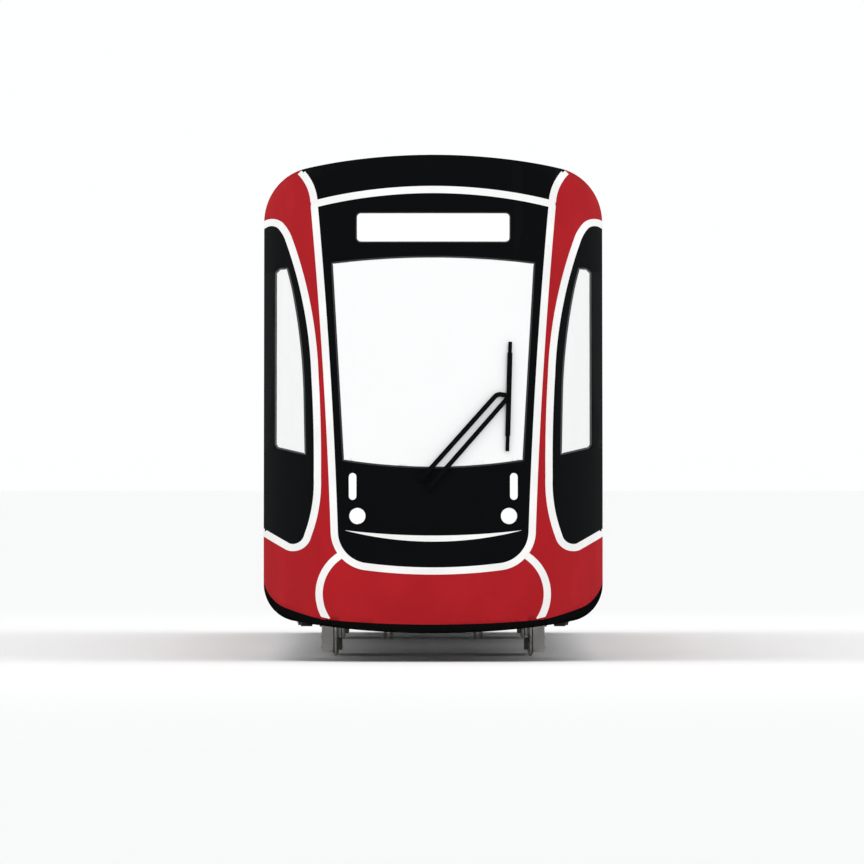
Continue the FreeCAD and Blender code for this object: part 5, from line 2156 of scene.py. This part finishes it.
@dataclass
class RunningGear:
    """Bolts, air-spring rings, leads, brake discs and the wheels' clamping bolts."""

    shop: Paintshop
    centre: float = -6.3
    half_base: float = 0.925
    axle: float = 0.32
    cap: float = 0.97
    spring_reach: float = 0.9
    spring_rings: tuple[float, ...] = (0.45, 0.53, 0.61, 0.68)
    lead: tuple[Spot, ...] = (
        (0.955, 0.0, 0.09), (0.958, 0.03, 0.13), (0.955, 0.22, 0.13), (0.953, 0.4, 0.06),
        (0.953, 0.55, 0.05),
    )
    disc_places: Span = (0.30, 0.345)
    disc_middle: float = 0.3225
    disc_radius: float = 0.2

    def build(self) -> None:
        """Dresses both bogies."""
        bolts: list[Vector] = []
        plates, rings, leads = [], [], []
        for name, turn in (("leading", -1), ("trailing", 1)):
            y = self.centre + turn * self.half_base
            bolts += around((self.cap, y, self.axle), 0.076, 8, Axis.ACROSS)
            middle = (self.cap + 0.003, y, self.axle)
            plate = Form.drum("cover", middle, 0.052, 0.01, Axis.ACROSS, 36)
            plates.append(plate.bevel(0.003))
            bends = [(x, y - turn * along, self.axle + z) for x, along, z in self.lead]
            leads.append(Form.pipe("lead", bends, 0.008))
            self.wheels(name, y)
        for y in (-0.23, 0.23):
            for z in self.spring_rings:
                place = (self.spring_reach, self.centre + y, z)
                rings.append(Form.hoop("ring", place, 0.083, 0.012, Axis.UP, 36))
        head = bolt_head(0.011, 0.009, Axis.ACROSS)
        for form, finish in (
            (spread("front_axle_box_bolts", head, bolts), "bright_steel"),
            (joined("front_axle_covers", plates), "equipment_grey"),
            (joined("front_air_springs", rings), "rubber"),
            (joined("front_axle_leads", leads), "rubber"),
        ):
            form.both_sides().pair("front_bogie", self.shop[finish])

    def wheels(self, name: str, y: float) -> None:
        """Fits one wheelset's clamping bolts and brake discs.

        Args:
            name: leading or trailing.
            y: the axle's place along the tram.
        """
        axle = self.axle
        bolts = []
        for x, size, high, radius, count in (
            (0.8, 0.01, 0.008, 0.262, 12),
            (0.755, 0.014, 0.014, 0.16, 10),
        ):
            head = bolt_head(size, high, Axis.ACROSS)
            bolts.append(spread("bolts", head, around((x, y, axle), radius, count, Axis.ACROSS)))
        discs = []
        for x in self.disc_places:
            disc = Form.drum("disc", (x, y, axle), self.disc_radius, 0.02, Axis.ACROSS, 56)
            discs.append(disc.bevel(0.002))
        for _, along, z in around((self.disc_middle, y, axle), 0.14, 14, Axis.ACROSS):
            low, high = (0.305, along - 0.006, z - 0.006), (0.34, along + 0.006, z + 0.006)
            discs.append(Form.block("vane", low, high).bevel(0.001, rounds=1))
        hub = Form.drum("hub", (self.disc_middle, y, axle), 0.09, 0.07, Axis.ACROSS, 40)
        discs.append(hub.bevel(0.004))
        for piece, parts, finish in (
            ("wheel_bolts", bolts, "bright_steel"),
            ("brake_discs", discs, "tread_steel"),
        ):
            form = joined(f"front_{name}_{piece}", parts).both_sides()
            form.pair(f"front_{name}_axle", self.shop[finish])


@dataclass
class Coachwork:
    """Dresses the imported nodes, all but the plain ones as smooth merged copies."""

    shop: Paintshop
    nodes: Nodes
    plain: tuple[str, ...] = ("body_shell",)
    restyled: tuple[str, ...] = ("seats", "driver_seat", "bellows", "wiper")
    trimmed: tuple[str, ...] = ("_doors", "_floor")
    corner_middle: Span = (0.942, 0.537)
    corner_radius: float = 0.256
    corner_turns: tuple[float, ...] = (0.0, 20.0, 40.0, 60.0)
    spring_reach: float = 0.9
    spring_space: float = 0.23
    pane_ends: Span = (8.6, 9.77)

    FINISHES = {
        "coach_shell": ("body_shell",),
        "floor_cover": ("floor",),
        "gloss_red": ("body_panels", "cab_panels"),
        "gloss_black": ("doors", "cab_mask", "roof_cowl", "cab_side_frames"),
        "apron_black": ("lower_apron",),
        "equipment_grey": ("roof_equipment",),
        "side_glass": ("windows",),
        "front_glass": ("windscreen",),
        "sign_panel": ("destination_sign",),
        "lamp_lens": ("lamps",),
        "cab_lining": ("cab_frame",),
        "bright_steel": ("grab_rails",),
        "bogie_grey": ("bogie_frame",),
        "wheel_steel": ("wheelset",),
        "pantograph_grey": ("pantograph_base", "lower_arm", "upper_arm", "pantograph_head"),
    }

    def build(self) -> None:
        """Gives every node its finish, by the ending of its name."""
        for name, node in sorted(self.nodes.items()):
            if name.endswith(self.restyled):
                continue
            paint = next(key for key, ends in self.FINISHES.items() if name.endswith(ends))
            finish = self.shop[paint]
            if name.endswith(self.plain):
                node.data.materials.clear()
                node.data.materials.append(finish)
            else:
                self.smooth_copy(name, node, finish)

    def smooth_copy(self, name: str, node: bpy.types.Object, finish: Material) -> None:
        """Makes a merged copy of a node, shaded smooth, that stands for it.

        Args:
            name: the node's name.
            node: the node's object.
            finish: the copy's material.
        """
        copy = copied(f"{name}_skin", node).merged()
        if name.endswith(self.trimmed):
            self.trim_foot(copy)
        copy.finish(body_of(node)[0], finish)
        for test, other in self.accents(name):
            copy.accent(test, self.shop[other])
        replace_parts(copy.even_shading().made, name)

    def trim_foot(self, form: Form) -> None:
        """Cuts the lower outer corners of a piece to the round corner of the body.

        Args:
            form: the piece, on both sides of the tram.
        """
        across, up = self.corner_middle
        for low, high in zip(self.corner_turns, self.corner_turns[1:]):
            angle = math.radians((low + high) / 2)
            near = self.corner_radius * math.cos(math.radians((high - low) / 2))
            for side in (1, -1):
                way = Vector((side * math.cos(angle), 0.0, -math.sin(angle)))
                form.bisected(Vector((side * across, 0.0, up)) + way * near, way)

    def accents(self, name: str) -> list[tuple[Test, str]]:
        """The faces of a node that have a finish of their own.

        Args:
            name: the node's name.

        Returns:
            For each such finish, the test that picks its faces and its name.
        """
        low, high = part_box(name)
        middle = (low + high) / 2
        near, far = self.pane_ends

        def tread(spot: Vector, normal: Vector) -> bool:
            """Picks the tread and the flange of a wheelset."""
            away = math.hypot(spot.y - middle.y, spot.z - middle.z)
            return away > 0.28 and abs(normal.x) < 0.9

        def spring(spot: Vector, normal: Vector) -> bool:
            """Picks the sides of a bogie's air springs."""
            across = abs(abs(spot.x) - self.spring_reach) < 0.09 and abs(normal.z) < 0.5
            along = abs(abs(spot.y - middle.y) - self.spring_space) < 0.09
            return across and along and 0.4 < spot.z < 0.715

        tests: dict[str, list[tuple[Test, str]]] = {
            "wheelset": [(tread, "tread_steel")],
            "pantograph_base": [
                (lambda spot, _: spot.z < 2.922 and abs(abs(spot.y) - 0.65) < 0.08, "insulator")
            ],
            "bogie_frame": [(spring, "rubber"), (lambda spot, _: spot.z < 0.121, "wheel_steel")],
            "_windows": [
                (lambda spot, _: abs(spot.y) > far, "quarter_glass"),
                (lambda spot, _: near < abs(spot.y) <= far, "cab_pane"),
            ],
            "cab_frame": [
                (
                    lambda spot, _: 0.38 < spot.z < 1.31 and 9.98 < abs(spot.y) < 10.9,
                    "console_grey",
                ),
                (lambda spot, up: up.z > 0.9 and 0.36 < spot.z < 0.39, "floor_cover"),
            ],
        }
        if name.startswith("centre"):
            return []
        return next((picks for ending, picks in tests.items() if name.endswith(ending)), [])


# The studio


@dataclass
class Studio:
    """The floor, the soft lights and the camera, level and square to the front."""

    camera_distance: float = 150.0
    level: float = -10.0
    floor_radius: float = 420.0
    sky: float = 1.0
    sensor: float = 36.0

    # Each lamp's name, place, size, power and the point that it faces
    LAMPS = (
        ("key", (-8.0, -18.0, 22.0), (5.0, 5.0), 380.0, (0, -8, 1.6)),
        ("fill", (10.0, -22.0, 12.0), (5.0, 5.0), 110.0, (0, -9, 1.5)),
        ("roof_light", (0.0, 0.0, 13.0), (6.0, 20.0), 60.0, (0, 0, 0)),
        ("left_side", (-16.0, 1.0, 9.0), (14.0, 3.0), 90.0, (0, 1, 1.6)),
        ("right_side", (16.0, 1.0, 9.0), (14.0, 3.0), 90.0, (0, 1, 1.6)),
        ("back", (4.0, 23.0, 12.0), (5.0, 5.0), 110.0, (0, 9, 1.6)),
    )

    def clear(self) -> None:
        """Empties the scene that Blender starts with."""
        for each in list(bpy.data.objects):
            bpy.data.objects.remove(each)

    def build(self) -> None:
        """Makes the floor, the sky, the lamps and the camera."""
        self.floor()
        self.world()
        self.lamps()
        self.camera()
        bpy.context.scene.view_settings.view_transform = "Standard"

    def floor(self) -> None:
        """Lays a pale floor that has no edge in view."""
        made = Form.drum("studio_floor", (0, 0, -0.05), self.floor_radius, 0.1, sides=96).made
        shader = Shader("studio_floor")
        mottle = shader.noise(1.8, 3.0)
        shade = shader.blend(mottle, (0.94, 0.94, 0.935), (0.96, 0.96, 0.955))
        shader.feed(colour=shade, rough=0.7 + 0.1 * mottle)
        made.data.materials.append(shader.material)

    def world(self) -> None:
        """Gives an even pale sky."""
        world = bpy.data.worlds.new("studio")
        world.use_nodes = True
        background = world.node_tree.nodes["Background"]
        background.inputs[0].default_value = (0.99, 0.995, 1.0, 1.0)
        background.inputs[1].default_value = self.sky
        bpy.context.scene.world = world

    def lamps(self) -> None:
        """Hangs the large soft lamps."""
        for name, at, size, power, aim in self.LAMPS:
            lamp = bpy.data.lights.new(name, "AREA")
            lamp.shape = "RECTANGLE"
            lamp.size, lamp.size_y = size
            lamp.energy = power
            made = bpy.data.objects.new(name, lamp)
            made.location = at
            made.rotation_euler = (Vector(aim) - Vector(at)).to_track_quat("-Z", "Y").to_euler()
            made.visible_camera = False
            bpy.context.scene.collection.objects.link(made)

    def camera(self) -> None:
        """Sets the camera where the drawing was seen from, through a very long lens."""
        middle = IMAGE_PIXELS / 2
        across = (middle - DRAWING_MIDDLE[0]) * PIXEL
        height = APRON_FOOT + (DRAWING_MIDDLE[1] - middle) * PIXEL
        lens = bpy.data.cameras.new("portrait")
        lens.sensor_width = self.sensor
        lens.lens = self.sensor * self.camera_distance / (IMAGE_PIXELS * PIXEL)
        lens.clip_start = 1.0
        lens.clip_end = 2 * self.floor_radius + self.camera_distance
        made = bpy.data.objects.new("portrait", lens)
        made.location = (across, self.level - self.camera_distance, height)
        made.rotation_euler = (math.pi / 2, 0.0, 0.0)
        bpy.context.scene.collection.objects.link(made)
        bpy.context.scene.camera = made


# Each car's windows, how many of them have hoppers, its door leaves and its two white lines
SIDES = (
    (
        "front",
        ((-7.52, -5.62), (-5.52, -3.75)),
        2,
        ((-8.48, -7.70),),
        ((-9.145, -3.551),),
        ((-9.58, -8.489), (-7.691, -3.551)),
    ),
    (
        "centre",
        ((-0.75, 0.75), (-2.9, -2.35), (2.35, 2.9)),
        1,
        ((-2.2, -1.553), (-1.547, -0.9), (0.9, 1.547), (1.553, 2.2)),
        ((-3.049, 3.049),),
        ((-3.049, -2.209), (-0.891, 0.891), (2.209, 3.049)),
    ),
)
# Each car's ceiling, rails and thresholds
SALOONS = (
    ("front", (-8.42, -3.66), (-7.69, -3.93), ((-8.44, -7.74),)),
    ("centre", (-2.94, 2.94), (-2.35, 2.35), ((-2.16, -0.94), (0.94, 2.16))),
)
# Each car's roof units, fans and conduits
ROOFS = (
    ("front", ((-8.25, -6.25), (-5.95, -4.05)), (-7.7, -6.8), (-8.35, -3.95)),
    ("centre", ((-2.9, -1.6), (1.6, 2.9)), (2.25,), (-2.95, 2.95)),
)


def main() -> None:
    """Builds the tram's looks in order and reports each piece."""
    logging.basicConfig(level=logging.INFO, format="%(name)s: %(message)s")
    studio = Studio()
    studio.clear()
    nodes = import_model()["nodes"]
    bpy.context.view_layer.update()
    shop = Paintshop()
    for section in (
        Coachwork(shop, nodes),
        Nose(shop, nodes),
        *(SideWall(shop, *places) for places in SIDES),
        Seats(shop),
        Cab(shop),
        *(Saloon(shop, *places) for places in SALOONS),
        Gangway(shop, nodes),
        *(Roof(shop, *places) for places in ROOFS),
        Pantograph(shop),
        RunningGear(shop),
        studio,
    ):
        before = set(bpy.data.objects.keys())
        section.build()
        for name in sorted(set(bpy.data.objects.keys()) - before):
            LOG.info("%s: %s", type(section).__name__, name)


if __name__ == "__main__":
    main()
